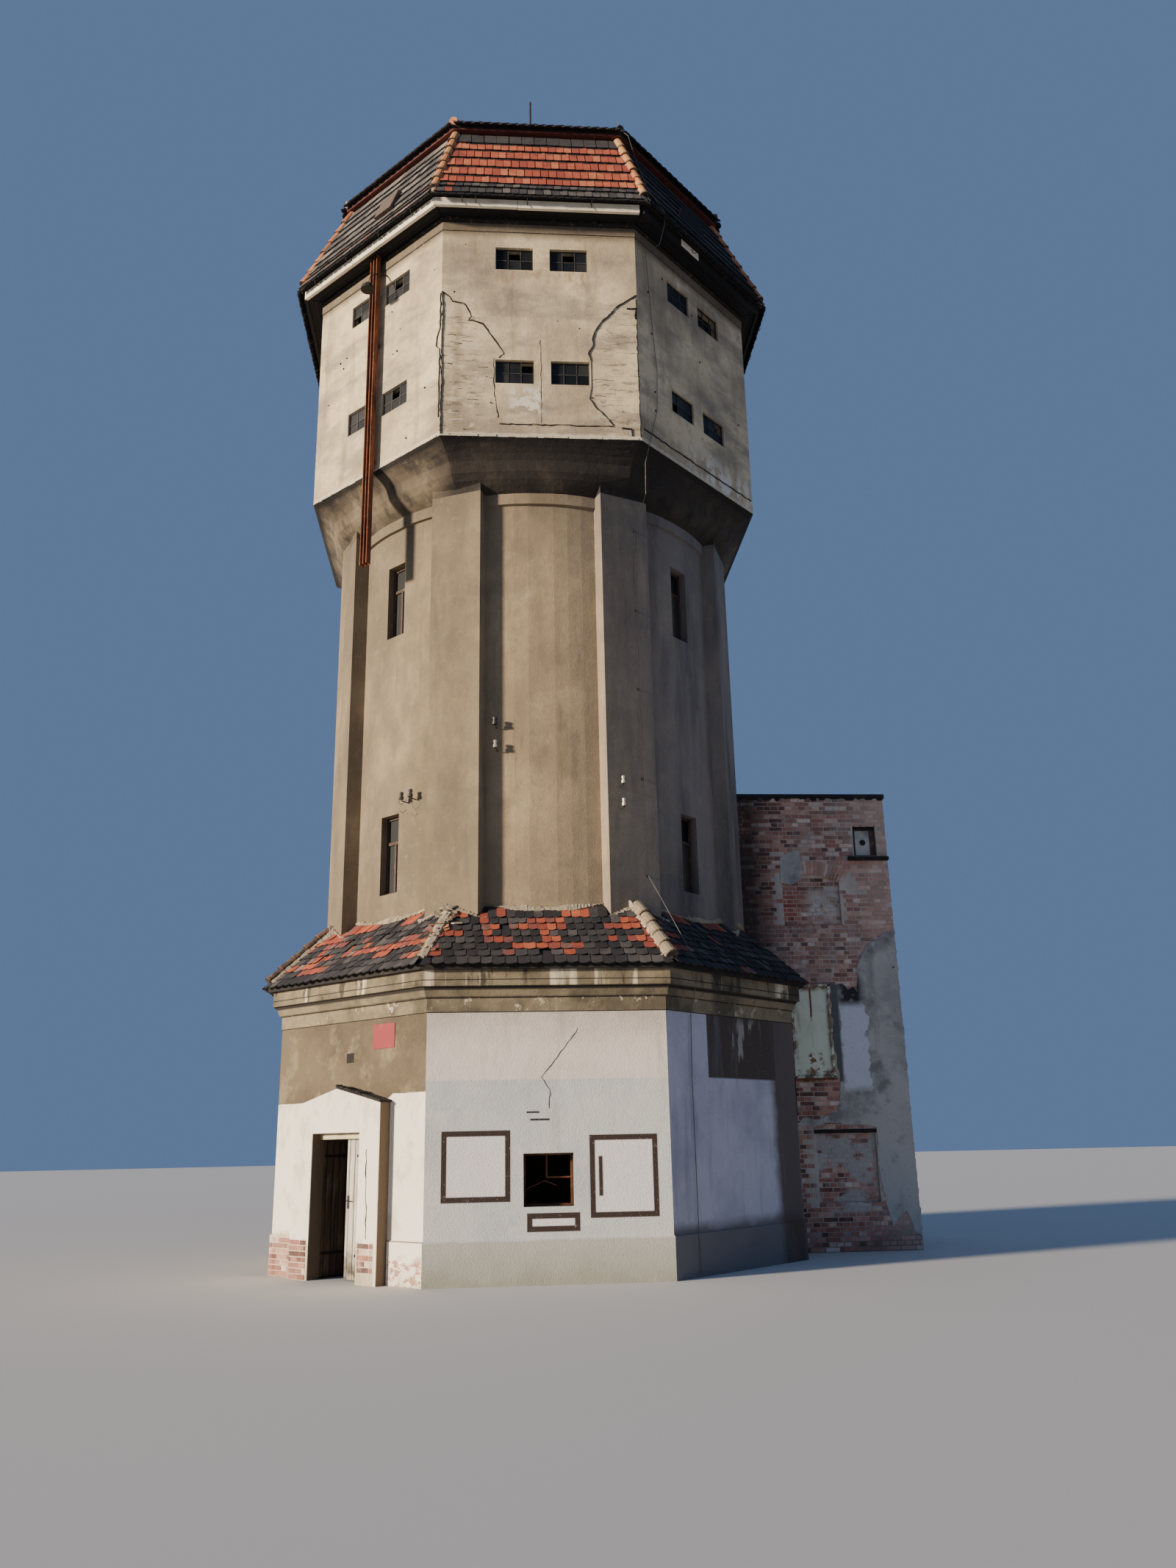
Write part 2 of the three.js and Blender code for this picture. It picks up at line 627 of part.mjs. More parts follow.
function lamp() {
  const arm = [[200, TANK_A + GAP, 16740], [200, 4150, 16690], [205, 4280, 16605], [220, 4400, 16460], [235, 4450, 16270]];
  const h = 10;
  const at = (i, j, k) => {
    const [s, a, z] = arm[i];
    return onFace(DOOR_F, s + (j ? h : -h), a, z + (k ? h : -h));
  };
  const tube = toManifold(cells(arm.length - 1, 1, 1, always, at));
  const shade = [];
  const sides = 12;
  for (const [r, z] of [[125, 16150], [115, 16215], [45, 16290]]) {
    shade.push([r, z]);
  }
  const positions = [];
  for (const [r, z] of shade) {
    for (let i = 0; i < sides; i += 1) {
      const q = 2 * Math.PI * i / sides;
      positions.push(...onFace(DOOR_F, LAMP_S + r * Math.cos(q), LAMP_A + r * Math.sin(q), z));
    }
  }
  const triangles = [];
  for (let ring = 0; ring < 2; ring += 1) {
    for (let i = 0; i < sides; i += 1) {
      const a = ring * sides + i;
      const b = ring * sides + (i + 1) % sides;
      triangles.push(a, b, b + sides, a, b + sides, a + sides);
    }
  }
  for (let i = 1; i < sides - 1; i += 1) {
    triangles.push(0, i + 1, i, 2 * sides, 2 * sides + i, 2 * sides + i + 1);
  }
  const mesh = tube.add(toManifold(fromLists(positions, triangles))).getMesh();
  return fromLists(Array.from(mesh.vertProperties), Array.from(mesh.triVerts));
}

add('wall_lamp', 'iron', lamp());

// Annex
function annexFront() {
  const u = [AX0, 4336, 4370, 4629, 5010, 5366, 5647, 5692, 6103, AX1];
  const v = [0, 747, 1865, 2790, 4330, 5360, 6287, 6631, 7190, A_TOP - 70];
  const w = [AY0, AY0 + 60, AY0 + 130, AY0 + A_WALL];
  const filled = (i, j, k) => {
    const x = (u[i] + u[i + 1]) / 2;
    const z = (v[j] + v[j + 1]) / 2;
    const within = (a, b, c, d) => x > a && x < b && z > c && z < d;
    if (within(4370, 5010, 2790, 4330)) return false;
    if (k === 0 && within(4336, 5366, 5360, 6287)) return false;
    if (k === 0 && within(4629, 5647, 747, 1865)) return false;
    if (k < 2 && within(5692, 6103, 6631, 7190)) return false;
    return true;
  };
  return cells(9, 9, 3, filled, (i, j, k) => [u[i], w[k], v[j]]);
}

const WALL_TOP = A_TOP - 70;
const tools = [baseTool, plinthTool, shaftTool];
add('annex_wall_front', 'brick', cut(annexFront(), ...tools));
add('annex_wall_rear', 'brick', cut(box(2500, AX1, AY1 - A_WALL, AY1, 0, WALL_TOP), ...tools));
add('annex_wall_side', 'brick', box(AX1 - A_WALL, AX1, AY0 + A_WALL + GAP, AY1 - A_WALL - GAP, 0, WALL_TOP));
const inX1 = AX1 - A_WALL - GAP;
const inY0 = AY0 + A_WALL + GAP;
const inY1 = AY1 - A_WALL - GAP;
add('annex_floor', 'concrete', cut(box(AX0, inX1, inY0, inY1, 2600, 2750), baseTool));
add('annex_roof', 'bitumen', cut(box(2500, AX1 + 30, AY0 - 30, AY1 + 30, WALL_TOP + GAP, A_TOP), shaftTool));
add('annex_steel_door', 'steel_paint', box(4370 + GAP, 5010 - GAP, AY0 + 10, AY0 + 60, 2790 + GAP, 4330 - GAP));
add('annex_shelf', 'concrete', box(5562, 6288, AY0 - 90, AY0 - GAP, 6540, 6600));

export default group;
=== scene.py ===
# Water tower: materials, tiles, bricks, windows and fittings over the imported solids.
# Metres, z up, ground at z = 0, tower axis at x = y = 0, front face towards -y.
import math
import random

import bmesh
import bpy
from mathutils import Matrix, Vector
from mathutils.geometry import tessellate_polygon


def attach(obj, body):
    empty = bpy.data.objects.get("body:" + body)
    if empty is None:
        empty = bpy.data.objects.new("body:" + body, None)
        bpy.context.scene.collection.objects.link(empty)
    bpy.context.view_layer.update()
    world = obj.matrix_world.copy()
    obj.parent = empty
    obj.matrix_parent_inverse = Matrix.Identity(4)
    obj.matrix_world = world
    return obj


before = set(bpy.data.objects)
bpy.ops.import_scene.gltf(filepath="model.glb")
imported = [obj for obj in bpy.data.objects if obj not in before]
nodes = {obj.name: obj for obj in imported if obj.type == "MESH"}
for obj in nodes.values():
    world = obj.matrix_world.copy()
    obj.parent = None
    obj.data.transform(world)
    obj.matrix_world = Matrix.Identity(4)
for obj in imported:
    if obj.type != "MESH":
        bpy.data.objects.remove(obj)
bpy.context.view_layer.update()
rng = random.Random(7)
vary = rng.uniform

UP = Vector((0, 0, 1))

# Driving dimensions, as in the solids. _A: how far a face stands from the axis; a face is 2 * T * _A wide.
CORNER = math.radians(22.5)
T = math.tan(CORNER)
BASE_A = 4.065
PANEL_R = 3.42
PILASTER_A = 3.64
PILASTER_W = 0.434
TANK_A = 4.0
TANK_Z = 12.85
TANK_TOP = 17.17
EAVE_A = 4.28
EAVE_Z = 17.3
FASCIA_Z = 17.11
SLOPE_A = 4.392
SLOPE_TOP_A = 3.523
SLOPE_TOP_Z = 19.39
CAP_A = 3.66
CAP_EDGE_Z = 19.46
CAP_APEX_Z = 21.45
SKIRT_A = 4.3
SKIRT_Z = 4.235
ANNEX_Y = -0.6
ANNEX_A = -ANNEX_Y
ANNEX_X1 = 6.29
ANNEX_Y1 = 2.2
ANNEX_TOP = 7.7
SLOPE_TILE = 0.14
TOP_COURSE_TILE = 0.225
CAP_TILE = 0.163
CAP_COURSES = 14
SKIRT_TILE = 0.172
SKIRT_UPPER_TILE = 0.138
SKIRT_PITCH = 0.155
TANK_WINDOWS = [(-0.75, -0.11, 13.86, 14.305), (0.175, 0.82, 13.86, 14.305), (-0.75, -0.11, 16.105, 16.55),
                (0.175, 0.82, 16.105, 16.55)]
SHAFT_WINDOWS = [(5.6, 6.88, 6.45), (9.99, 11.3, 10.88)]


# Helpers for places on the octagon
def axes(f):
    az = math.radians(45 * f)
    return Vector((math.cos(az), math.sin(az), 0)), Vector((math.sin(az), -math.cos(az), 0))


def on_face(f, s, a, z):
    along, out = axes(f)
    return along * s + out * a + UP * z


def flat(f, a, points):
    """Points (s, z) on a plane a out from the axis, on face f."""
    return [on_face(f, s, a, z) for s, z in points]


def path(f, points):
    return [on_face(f, s, a, z) for s, a, z in points]


def on_wall(f, a):
    return lambda u, v, h: on_face(f, u, a + h, v)


def square(u0, u1, v0, v1):
    return [(u0, v0), (u1, v0), (u1, v1), (u0, v1)]


def rim(s0, s1, z0, z1, width, foot):
    """Four bars around an opening."""
    sides = [(s0, s0 + width, z0, z1), (s1 - width, s1, z0, z1)]
    return sides + [(s0, s1, z0, z0 + foot), (s0, s1, z1 - width, z1)]


def at_angle(degrees, r, z):
    az = math.radians(degrees)
    return Vector((r * math.sin(az), -r * math.cos(az), z))


class Slope:
    """A sloping plane on face f: s along it, t up it from the low edge, h off it."""

    def __init__(self, f, low, high):
        along, out = axes(f)
        self.low = low
        self.high = high
        self.run = math.hypot(high[0] - low[0], high[1] - low[1])
        self.along = along
        self.up = (out * (high[0] - low[0]) + UP * (high[1] - low[1])) / self.run
        self.normal = (out * (high[1] - low[1]) + UP * (low[0] - high[0])) / self.run
        self.origin = out * low[0] + UP * low[1]

    def at(self, s, t, h):
        return self.origin + self.along * s + self.up * t + self.normal * h

    def half(self, t):
        return T * (self.low[0] + (self.high[0] - self.low[0]) * t / self.run)

    def t_of(self, z):
        return (z - self.low[1]) * self.run / (self.high[1] - self.low[1])


def clip(polygon, side, edge):
    """Keeps the part of a polygon of (s, t) where side * s is under edge(t)."""
    kept = []
    for i, p in enumerate(polygon):
        q = polygon[(i + 1) % len(polygon)]
        dp = side * p[0] - edge(p[1])
        dq = side * q[0] - edge(q[1])
        if dp <= 0:
            kept.append(p)
        if dp * dq < 0:
            u = dp / (dp - dq)
            kept.append((p[0] + (q[0] - p[0]) * u, p[1] + (q[1] - p[1]) * u))
    return kept


def crooked(line, seed, step=0.08, swing=0.012):
    """A line of (u, v) points with uneven points added along it."""
    local = random.Random(seed)
    made = []
    for (u0, v0), (u1, v1) in zip(line, line[1:]):
        count = max(1, round(math.hypot(u1 - u0, v1 - v0) / step))
        for i in range(count):
            off = swing if i else 0.0
            u = u0 + (u1 - u0) * i / count + local.uniform(-off, off)
            made.append((u, v0 + (v1 - v0) * i / count + local.uniform(-off, off)))
    made.append(line[-1])
    return made


def neighbours(points):
    """For each point of a line, the one before and the one after it."""
    return list(zip(points[:1] + points[:-1], points[1:] + points[-1:]))


class Build:
    """Collects closed solids, each with a tone, and makes them one object."""

    def __init__(self):
        self.points = []
        self.faces = []
        self.tones = []

    def loft(self, rings, tone=0.5, end_tone=None):
        """Joins rings of points into one closed solid."""
        start = len(self.points)
        n = len(rings[0])
        for ring in rings:
            self.points.extend(ring)
        last = start + n * (len(rings) - 1)
        self.faces += [tuple(range(start, start + n)), tuple(range(last, last + n))]
        for a in range(start, last, n):
            for k in range(n):
                b = a + (k + 1) % n
                self.faces.append((a + k, b, b + n, a + k + n))
        ends = tone if end_tone is None else end_tone
        self.tones += [ends, ends] + [tone] * (last - start)

    def solid(self, low, high, tone=0.5, end_tone=None):
        self.loft([low, high], tone, end_tone)

    def block(self, f, s0, s1, a0, a1, z0, z1, tone=0.5):
        ring = square(s0, s1, a0, a1)
        self.solid([on_face(f, s, a, z0) for s, a in ring], [on_face(f, s, a, z1) for s, a in ring], tone)

    def bars(self, f, a0, a1, rows):
        for s0, s1, z0, z1 in rows:
            self.block(f, s0, s1, a0, a1, z0, z1)

    def plate(self, f, outline, a0, a1, tone=0.5):
        self.solid(flat(f, a0, outline), flat(f, a1, outline), tone)

    def sheet(self, loops, place, thick, tone=0.5):
        """A flat piece with holes: the first loop is its edge; place(u, v, h) gives its points."""
        flat = [[Vector((u, v, 0)) for u, v in loop] for loop in loops]
        start = len(self.points)
        count = sum(len(loop) for loop in loops)
        for h in (0.0, thick):
            self.points.extend(place(u, v, h) for loop in loops for u, v in loop)
        for a, b, c in tessellate_polygon(flat):
            self.faces.append((start + a, start + b, start + c))
            self.faces.append((start + count + a, start + count + b, start + count + c))
            self.tones.extend([tone, tone])
        first = start
        for loop in loops:
            n = len(loop)
            for i in range(n):
                j = (i + 1) % n
                self.faces.append((first + i, first + j, first + count + j, first + count + i))
            self.tones.extend([tone] * n)
            first += n

    def ribbon(self, place, line, width, thick, seed):
        """A crack: short crooked pieces of changing width along a line of (u, v) points."""
        local = random.Random(seed)
        spots = crooked(line, seed, 0.07, 0.01)
        half = [width * local.uniform(0.25, 0.75) for _ in spots]
        sides = []
        for (u, v), w, (a, b) in zip(spots, half, neighbours(spots)):
            length = math.hypot(b[0] - a[0], b[1] - a[1])
            du = (a[1] - b[1]) / length * w
            dv = (b[0] - a[0]) / length * w
            sides.append(((u - du, v - dv), (u + du, v + dv)))
        for (a, b), (c, d) in zip(sides, sides[1:]):
            ring = (a, c, d, b)
            self.solid([place(u, v, 0.0) for u, v in ring], [place(u, v, thick) for u, v in ring])

    def tube(self, points, radius, tone=0.5, sides=6):
        turns = [2 * math.pi * k / sides for k in range(sides)]
        rings = []
        for p, (before, after) in zip(points, neighbours(points)):
            d = (after - before).normalized()
            side = d.cross(UP if abs(d.z) < 0.9 else Vector((1, 0, 0))).normalized()
            other = d.cross(side)
            rings.append([p + (side * math.cos(q) + other * math.sin(q)) * radius for q in turns])
        self.loft(rings, tone)

    def make(self, name, material, slot, body="tower"):
        mesh = bpy.data.meshes.new(name)
        mesh.from_pydata([tuple(p) for p in self.points], [], self.faces)
        tone = mesh.attributes.new("tone", "FLOAT", "FACE")
        tone.data.foreach_set("value", self.tones)
        bm = bmesh.new()
        bm.from_mesh(mesh)
        bmesh.ops.recalc_face_normals(bm, faces=bm.faces)
        bm.to_mesh(mesh)
        bm.free()
        mesh.materials.append(material)
        made = bpy.data.objects.new(name, mesh)
        bpy.context.scene.collection.objects.link(made)
        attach(made, body)
        return made


# Materials
def rgb(text):
    values = [int(text[i:i + 2], 16) / 255 for i in (0, 2, 4)]
    return tuple(v / 12.92 if v <= 0.04045 else ((v + 0.055) / 1.055) ** 2.4 for v in values) + (1.0,)


class Finish:
    """A node material, built up in layers over one colour."""

    def __init__(self, name, colour, rough=0.9, metal=0.0):
        self.material = bpy.data.materials.new(name)
        self.material.use_nodes = True
        self.tree = self.material.node_tree
        self.shader = self.tree.nodes["Principled BSDF"]
        self.shader.inputs["Roughness"].default_value = rough
        self.shader.inputs["Metallic"].default_value = metal
        self.place = self.node("ShaderNodeTexCoord", {}, "Object")
        self.colour = rgb(colour)
        self.relief = None

    def plug(self, socket, value):
        if isinstance(value, bpy.types.NodeSocket):
            self.tree.links.new(value, socket)
        else:
            socket.default_value = value

    def node(self, kind, values, out=0, **settings):
        made = self.tree.nodes.new(kind)
        for key, value in settings.items():
            setattr(made, key, value)
        for key, value in values.items():
            self.plug(made.inputs[key], value)
        return made.outputs[out]

    def noise(self, scale, detail=4.0, rough=0.6, tall=1.0, shift=0.0):
        """Noise from 0 to 1; tall under 1 stretches it upwards."""
        values = {"Vector": self.place, "Location": (shift, shift * 0.7, shift * 0.3), "Scale": (1, 1, tall)}
        values = {"Vector": self.node("ShaderNodeMapping", values), "Scale": scale, "Detail": detail}
        return self.node("ShaderNodeTexNoise", values | {"Roughness": rough})

    def remap(self, value, low, high, to_high=1.0, to_low=0.0):
        return self.node("ShaderNodeMapRange", {0: value, 1: low, 2: high, 3: to_low, 4: to_high})

    def math(self, operation, a, b):
        return self.node("ShaderNodeMath", {0: a, 1: b}, operation=operation)

    def both(self, *masks):
        made = masks[0]
        for mask in masks[1:]:
            made = self.math("MULTIPLY", made, mask)
        return made

    def along(self, axis):
        return self.node("ShaderNodeVectorMath", {0: self.place, 1: axis}, 1, operation="DOT_PRODUCT")

    def across(self, f):
        return self.along(axes(f)[0])

    def out(self, f):
        return self.along(axes(f)[1])

    def up(self):
        return self.along(UP)

    def ragged(self, value, size, scale, detail=4.0, tall=1.0):
        """A measure with noise added, for an uneven edge."""
        noise = self.noise(scale, detail, 0.6, tall)
        return self.math("ADD", value, self.remap(noise, 0.0, 1.0, size, -size))

    def window(self, value, low, high, soft):
        rise = self.remap(value, low - soft, low + soft)
        return self.math("MULTIPLY", rise, self.remap(value, high + soft, high - soft))

    def area(self, f, s0, s1, z0, z1, soft=0.01):
        """A mask: a rectangle, measured along a face and up."""
        return self.both(self.window(self.across(f), s0, s1, soft), self.window(self.up(), z0, z1, soft))

    def spots(self, scale, low, high, strength=1.0, tall=1.0, shift=0.0, detail=4.0, rough=0.6):
        """A mask: where the noise is high."""
        return self.remap(self.noise(scale, detail, rough, tall, shift), low, high, strength)

    def paint(self, colour, *masks):
        """Lays a colour over what is there, where all the masks are."""
        self.colour = self.node("ShaderNodeMix", {0: self.both(*masks), 6: self.colour, 7: rgb(colour)}, 2,
                                data_type="RGBA")

    def blotch(self, scale, low, high, colour, strength=1.0, tall=1.0, shift=0.0):
        self.paint(colour, self.spots(scale, low, high, strength, tall, shift, 5.0, 0.62))

    def streaks(self, low, high, colour, strength=0.6, scale=2.2, shift=3.0):
        self.blotch(scale, low, high, colour, strength, 0.12, shift)

    def toned(self, size, scale, stops, detail=4.0):
        """Colours by the tone of each face, with a little noise."""
        tone = self.node("ShaderNodeAttribute", {}, "Fac", attribute_name="tone")
        value = self.math("ADD", tone, self.remap(self.noise(scale, detail), 0.3, 0.7, size, -size))
        self.colour = self.node("ShaderNodeValToRGB", {0: value})
        elements = self.colour.node.color_ramp.elements
        while len(elements) < len(stops):
            elements.new(0.5)
        for element, (place, colour) in zip(elements, stops):
            element.position = place
            element.color = rgb(colour)

    def bump(self, value, distance):
        values = {"Height": value, "Distance": distance, "Strength": 1.0}
        if self.relief is not None:
            values["Normal"] = self.relief
        self.relief = self.node("ShaderNodeBump", values)

    def done(self):
        self.plug(self.shader.inputs["Base Color"], self.colour)
        if self.relief is not None:
            self.plug(self.shader.inputs["Normal"], self.relief)
        return self.material

    def plastered(self, coarse, fine):
        """The last layers of a rendered wall."""
        self.bump(self.noise(5.0, 4.0, 0.55), coarse)
        self.bump(self.noise(42.0, 3.0, 0.7), fine)
        return self.done()


def shaft_plaster():
    m = Finish("shaft_plaster", "ac9776", 0.92)
    m.blotch(0.55, 0.4, 0.62, "8f7d63", 0.85)
    m.blotch(1.3, 0.5, 0.64, "7f715b", 0.6, shift=11.0)
    m.blotch(1.7, 0.52, 0.7, "bda988", 0.6, shift=4.0)
    m.blotch(3.6, 0.5, 0.64, "97866a", 0.6, shift=8.0)
    m.streaks(0.5, 0.72, "7d6d56", 0.65)
    m.streaks(0.58, 0.72, "645848", 0.65, 4.5, 9.0)
    z = m.up()
    m.paint("766955", m.remap(z, 7.0, 4.9, 0.6), m.noise(2.0))
    # Darker towards the top under the flare: soot, and painted shade under the flare's overhang.
    m.paint("5f5445", m.remap(z, 10.8, 12.0, 0.95), m.noise(2.4, 5.0, 0.6, 0.4))
    # On the faces towards the right: a bluish grey that is painted shade, and dark streaks that are soot
    # deepened by painted shade.
    right = m.remap(m.out(1.5), 1.6, 3.2)
    m.paint("77757a", right, 0.6)
    m.paint("413f42", right, m.spots(1.6, 0.44, 0.66, 0.75, 0.16, 6.0, 5.0, 0.62))
    # On the faces towards the left: patchy darkening, painted shadows of branches.
    left = m.remap(m.out(7), 2.7, 3.3)
    m.paint("655a49", left, m.remap(m.noise(1.2, 5.0, 0.6, 0.4, 12.0), 0.36, 0.6, 0.8, 0.3))
    m.blotch(9.0, 0.56, 0.7, "8d7d65", 0.55, shift=2.0)
    m.blotch(38.0, 0.58, 0.7, "6e614b", 0.65, shift=6.0)
    return m.plastered(0.006, 0.004)


def tank_plaster():
    m = Finish("tank_wall_plaster", "dbc8a2", 0.93)
    m.blotch(0.7, 0.42, 0.6, "a8967a", 0.85)
    # Soft grey cloudy patches: stains, and painted shadows of branches.
    m.blotch(0.66, 0.48, 0.62, "857a6c", 0.7, 2.667, 20.0)
    m.blotch(4.4, 0.52, 0.64, "b8a88b", 0.6, shift=15.0)
    m.blotch(2.4, 0.55, 0.7, "a08f75", 0.55, shift=5.0)
    m.streaks(0.52, 0.7, "86775f", 0.6, 3.0)
    x = m.across(0)
    z = m.up()
    front = m.remap(m.out(0), 3.98, 3.99)
    m.paint("7c6c55", m.remap(z, 13.6, 12.85, 0.45), m.noise(2.6, 5.0, 0.6, 0.3))
    outer = m.both(front, m.remap(m.math("ABSOLUTE", x, 0.0), 0.72, 1.1), m.remap(z, 15.6, 15.2))
    dashes = m.both(outer, m.spots(2.6, 0.59, 0.63, 0.7, 7, 5.0, 5.0, 0.7))
    m.paint("7d6e57", dashes)
    m.paint("d6c9ae", outer, m.spots(3.4, 0.56, 0.64, 0.7, 3, 9.0, 5.0))
    peel = m.spots(8.0, 0.46, 0.52, shift=3.0, detail=5.0, rough=0.65)
    m.paint("ddd3bf", front, peel, m.area(0, -0.5, 0.02, 13.28, 13.78, 0.06))
    rust = m.spots(9.0, 0.5, 0.62, 0.6, 0.3)
    m.paint("9a7448", front, rust, m.area(0, -0.75, 0.85, 15.85, 16.1, 0.05))
    right = m.remap(m.out(1), 3.98, 3.99)
    spall = m.spots(5.0, 0.47, 0.55, tall=0.6, shift=2.0, detail=5.0, rough=0.65)
    m.paint("ded6c6", right, spall, m.remap(z, 13.6, 13.2), m.remap(x, 2.4, 3.0))
    lip = m.ragged(z, 0.06, 7.0, 5.0)
    m.paint("d2c7ae", m.remap(lip, 12.94, 12.91, 0.7))
    # Towards the eaves: the band under the soffit darker and the wall above 17.04 near-black, painted shadow
    # of the eaves; the dark line at 16.87 is a groove's painted shade.
    m.paint("564a3c", m.remap(z, 16.7, 16.87, 0.85))
    m.paint("2a2520", m.window(z, 16.862, 16.876, 0.003))
    m.paint("1d1a17", m.remap(z, 17.04, 17.06, 0.9))
    m.blotch(14.0, 0.58, 0.72, "9d8d72", 0.55, shift=2.0)
    m.blotch(40.0, 0.62, 0.7, "7e6f57", 0.45, shift=7.0)
    m.bump(m.math("MULTIPLY", dashes, -1.0), 0.006)
    return m.plastered(0.01, 0.004)


def flare_plaster():
    m = Finish("flare_soot_and_painted_shade", "85755d", 0.95)
    z = m.up()
    edge = m.ragged(z, 0.4, 1.6, 5.0, 0.3)
    # Darker towards the top (soot, and painted shade under the tank's edge) and at the foot.
    m.paint("3f362d", m.remap(edge, 12.3, 12.8, 0.85, 0.25))
    m.paint("463d33", m.remap(edge, 12.34, 12.2, 0.6))
    m.streaks(0.48, 0.66, "2b2723", 0.8, 3.4)
    m.blotch(1.4, 0.54, 0.68, "9c8e76", 0.55, 0.5, 7.0)
    # Near-black just under the tank's edge: painted shade.
    m.paint("1c1917", m.remap(z, 12.77, 12.81, 0.85))
    front = m.both(m.remap(m.out(0), 2.6, 3.4), m.remap(m.across(0), -1.9, -1.4))
    # Darker patch on the front: soot, and a painted shadow of branches.
    m.paint("28221e", front, m.remap(m.noise(1.5, 5.0), 0.3, 0.55, 0.95, 0.5))
    # Darker on the faces towards the right: painted shade.
    m.paint("221f1d", m.remap(m.out(1), 2.6, 3.3, 0.75))
    m.blotch(30.0, 0.6, 0.7, "5d5242", 0.5, shift=6.0)
    return m.plastered(0.012, 0.004)


def cornice_plaster():
    m = Finish("cornice_stain_and_painted_shade", "8d7f65", 0.95)
    z = m.up()
    m.blotch(1.1, 0.44, 0.6, "544c3d", 0.9)
    m.blotch(7.0, 0.5, 0.62, "746952", 0.6, shift=8.0)
    top = m.remap(z, 3.92, 3.94)
    m.paint("dccfb2", top, m.spots(2.6, 0.56, 0.62, 0.9, 0.08, 6.0))
    m.paint("373128", top, m.spots(3.6, 0.55, 0.6, 0.8, 0.3, 2.0, 5.0))
    # Dark band under the corona: painted shadow; the thin line at 3.78 is a groove's painted shade.
    m.paint("2a241e", m.window(z, 3.885, 3.934, 0.01))
    m.paint("2a241e", m.window(z, 3.775, 3.788, 0.003))
    frieze = m.window(z, 3.6, 3.78, 0.01)
    m.paint("c0b59c", frieze, m.spots(4.4, 0.59, 0.62, 0.85, shift=3.0, detail=6.0, rough=0.7))
    # Groove line on the upper face: painted shade.
    m.paint("25211c", m.window(z, 4.012, 4.026, 0.003))
    # Dark below the bead at 3.59: painted shade.
    m.paint("2b2620", m.remap(z, 3.592, 3.586))
    m.blotch(30.0, 0.6, 0.7, "4e4638", 0.5, shift=6.0)
    return m.plastered(0.01, 0.004)


def base_plain():
    m = Finish("base_render", "998e77", 0.94)
    m.blotch(0.8, 0.42, 0.64, "7d715b", 0.8)
    m.blotch(2.2, 0.55, 0.7, "b0a58b", 0.6, shift=3.0)
    m.streaks(0.54, 0.7, "655b4a", 0.6, 3.0)
    m.paint("6d6456", m.remap(m.up(), 0.75, 0.35, 0.5))
    m.blotch(34.0, 0.6, 0.7, "6b604c", 0.5, shift=6.0)
    return m.plastered(0.006, 0.005)


def framed(m, s0, s1, z0, z1, width, line, fill):
    """Paints a plain bordered rectangle."""
    m.paint(line, m.area(0, s0, s1, z0, z1, 0.006))
    m.paint(fill, m.area(0, s0 + width, s1 - width, z0 + width, z1 - width, 0.006))


def base_front():
    m = Finish("base_front_paint", "e2d6ca", 0.88)
    z = m.up()
    ragged = m.ragged(z, 0.03, 3.0)
    m.blotch(0.9, 0.45, 0.68, "c4b5ab", 0.6)
    m.paint("cbcbc6", m.remap(ragged, 2.66, 2.64))
    m.paint("b7b9ba", m.remap(ragged, 2.66, 2.64), m.spots(0.8, 0.44, 0.62, 0.7, shift=5.0))
    m.blotch(3.0, 0.56, 0.7, "e6ddd0", 0.5, shift=4.0)
    m.streaks(0.56, 0.74, "958d83", 0.45, 3.0)
    m.paint("978a76", m.remap(z, 3.1, 3.58, 0.8), m.noise(2.6))
    for s0, s1, z0, z1 in ((-1.46, -0.52, 1.05, 1.98), (-0.3, 0.42, 0.66, 0.9), (0.56, 1.5, 0.82, 1.9)):
        framed(m, s0, s1, z0, z1, 0.075, "35271f", "e4dcdc")
    m.paint("35271f", m.area(0, 0.68, 0.74, 1.1, 1.62))
    for s0, s1, z0, z1 in ((-0.3, -0.12, 2.2, 2.225), (-0.25, 0.02, 2.1, 2.128)):
        m.paint("1f1a17", m.area(0, s0, s1, z0, z1, 0.006))
    m.paint("aca69a", m.remap(ragged, 0.57, 0.55, 0.75))
    m.paint("7d8068", m.remap(z, 0.5, 0.05), m.noise(1.7))
    # Faces set back from the front, in the window's reveals: painted shade.
    m.paint("2f2822", m.remap(m.out(0), 4.04, 4.02))
    m.blotch(26.0, 0.62, 0.7, "a29a90", 0.6, shift=6.0)
    m.bump(m.noise(60.0, 3.0, 0.7), 0.004)
    return m.plastered(0.005, 0.006)


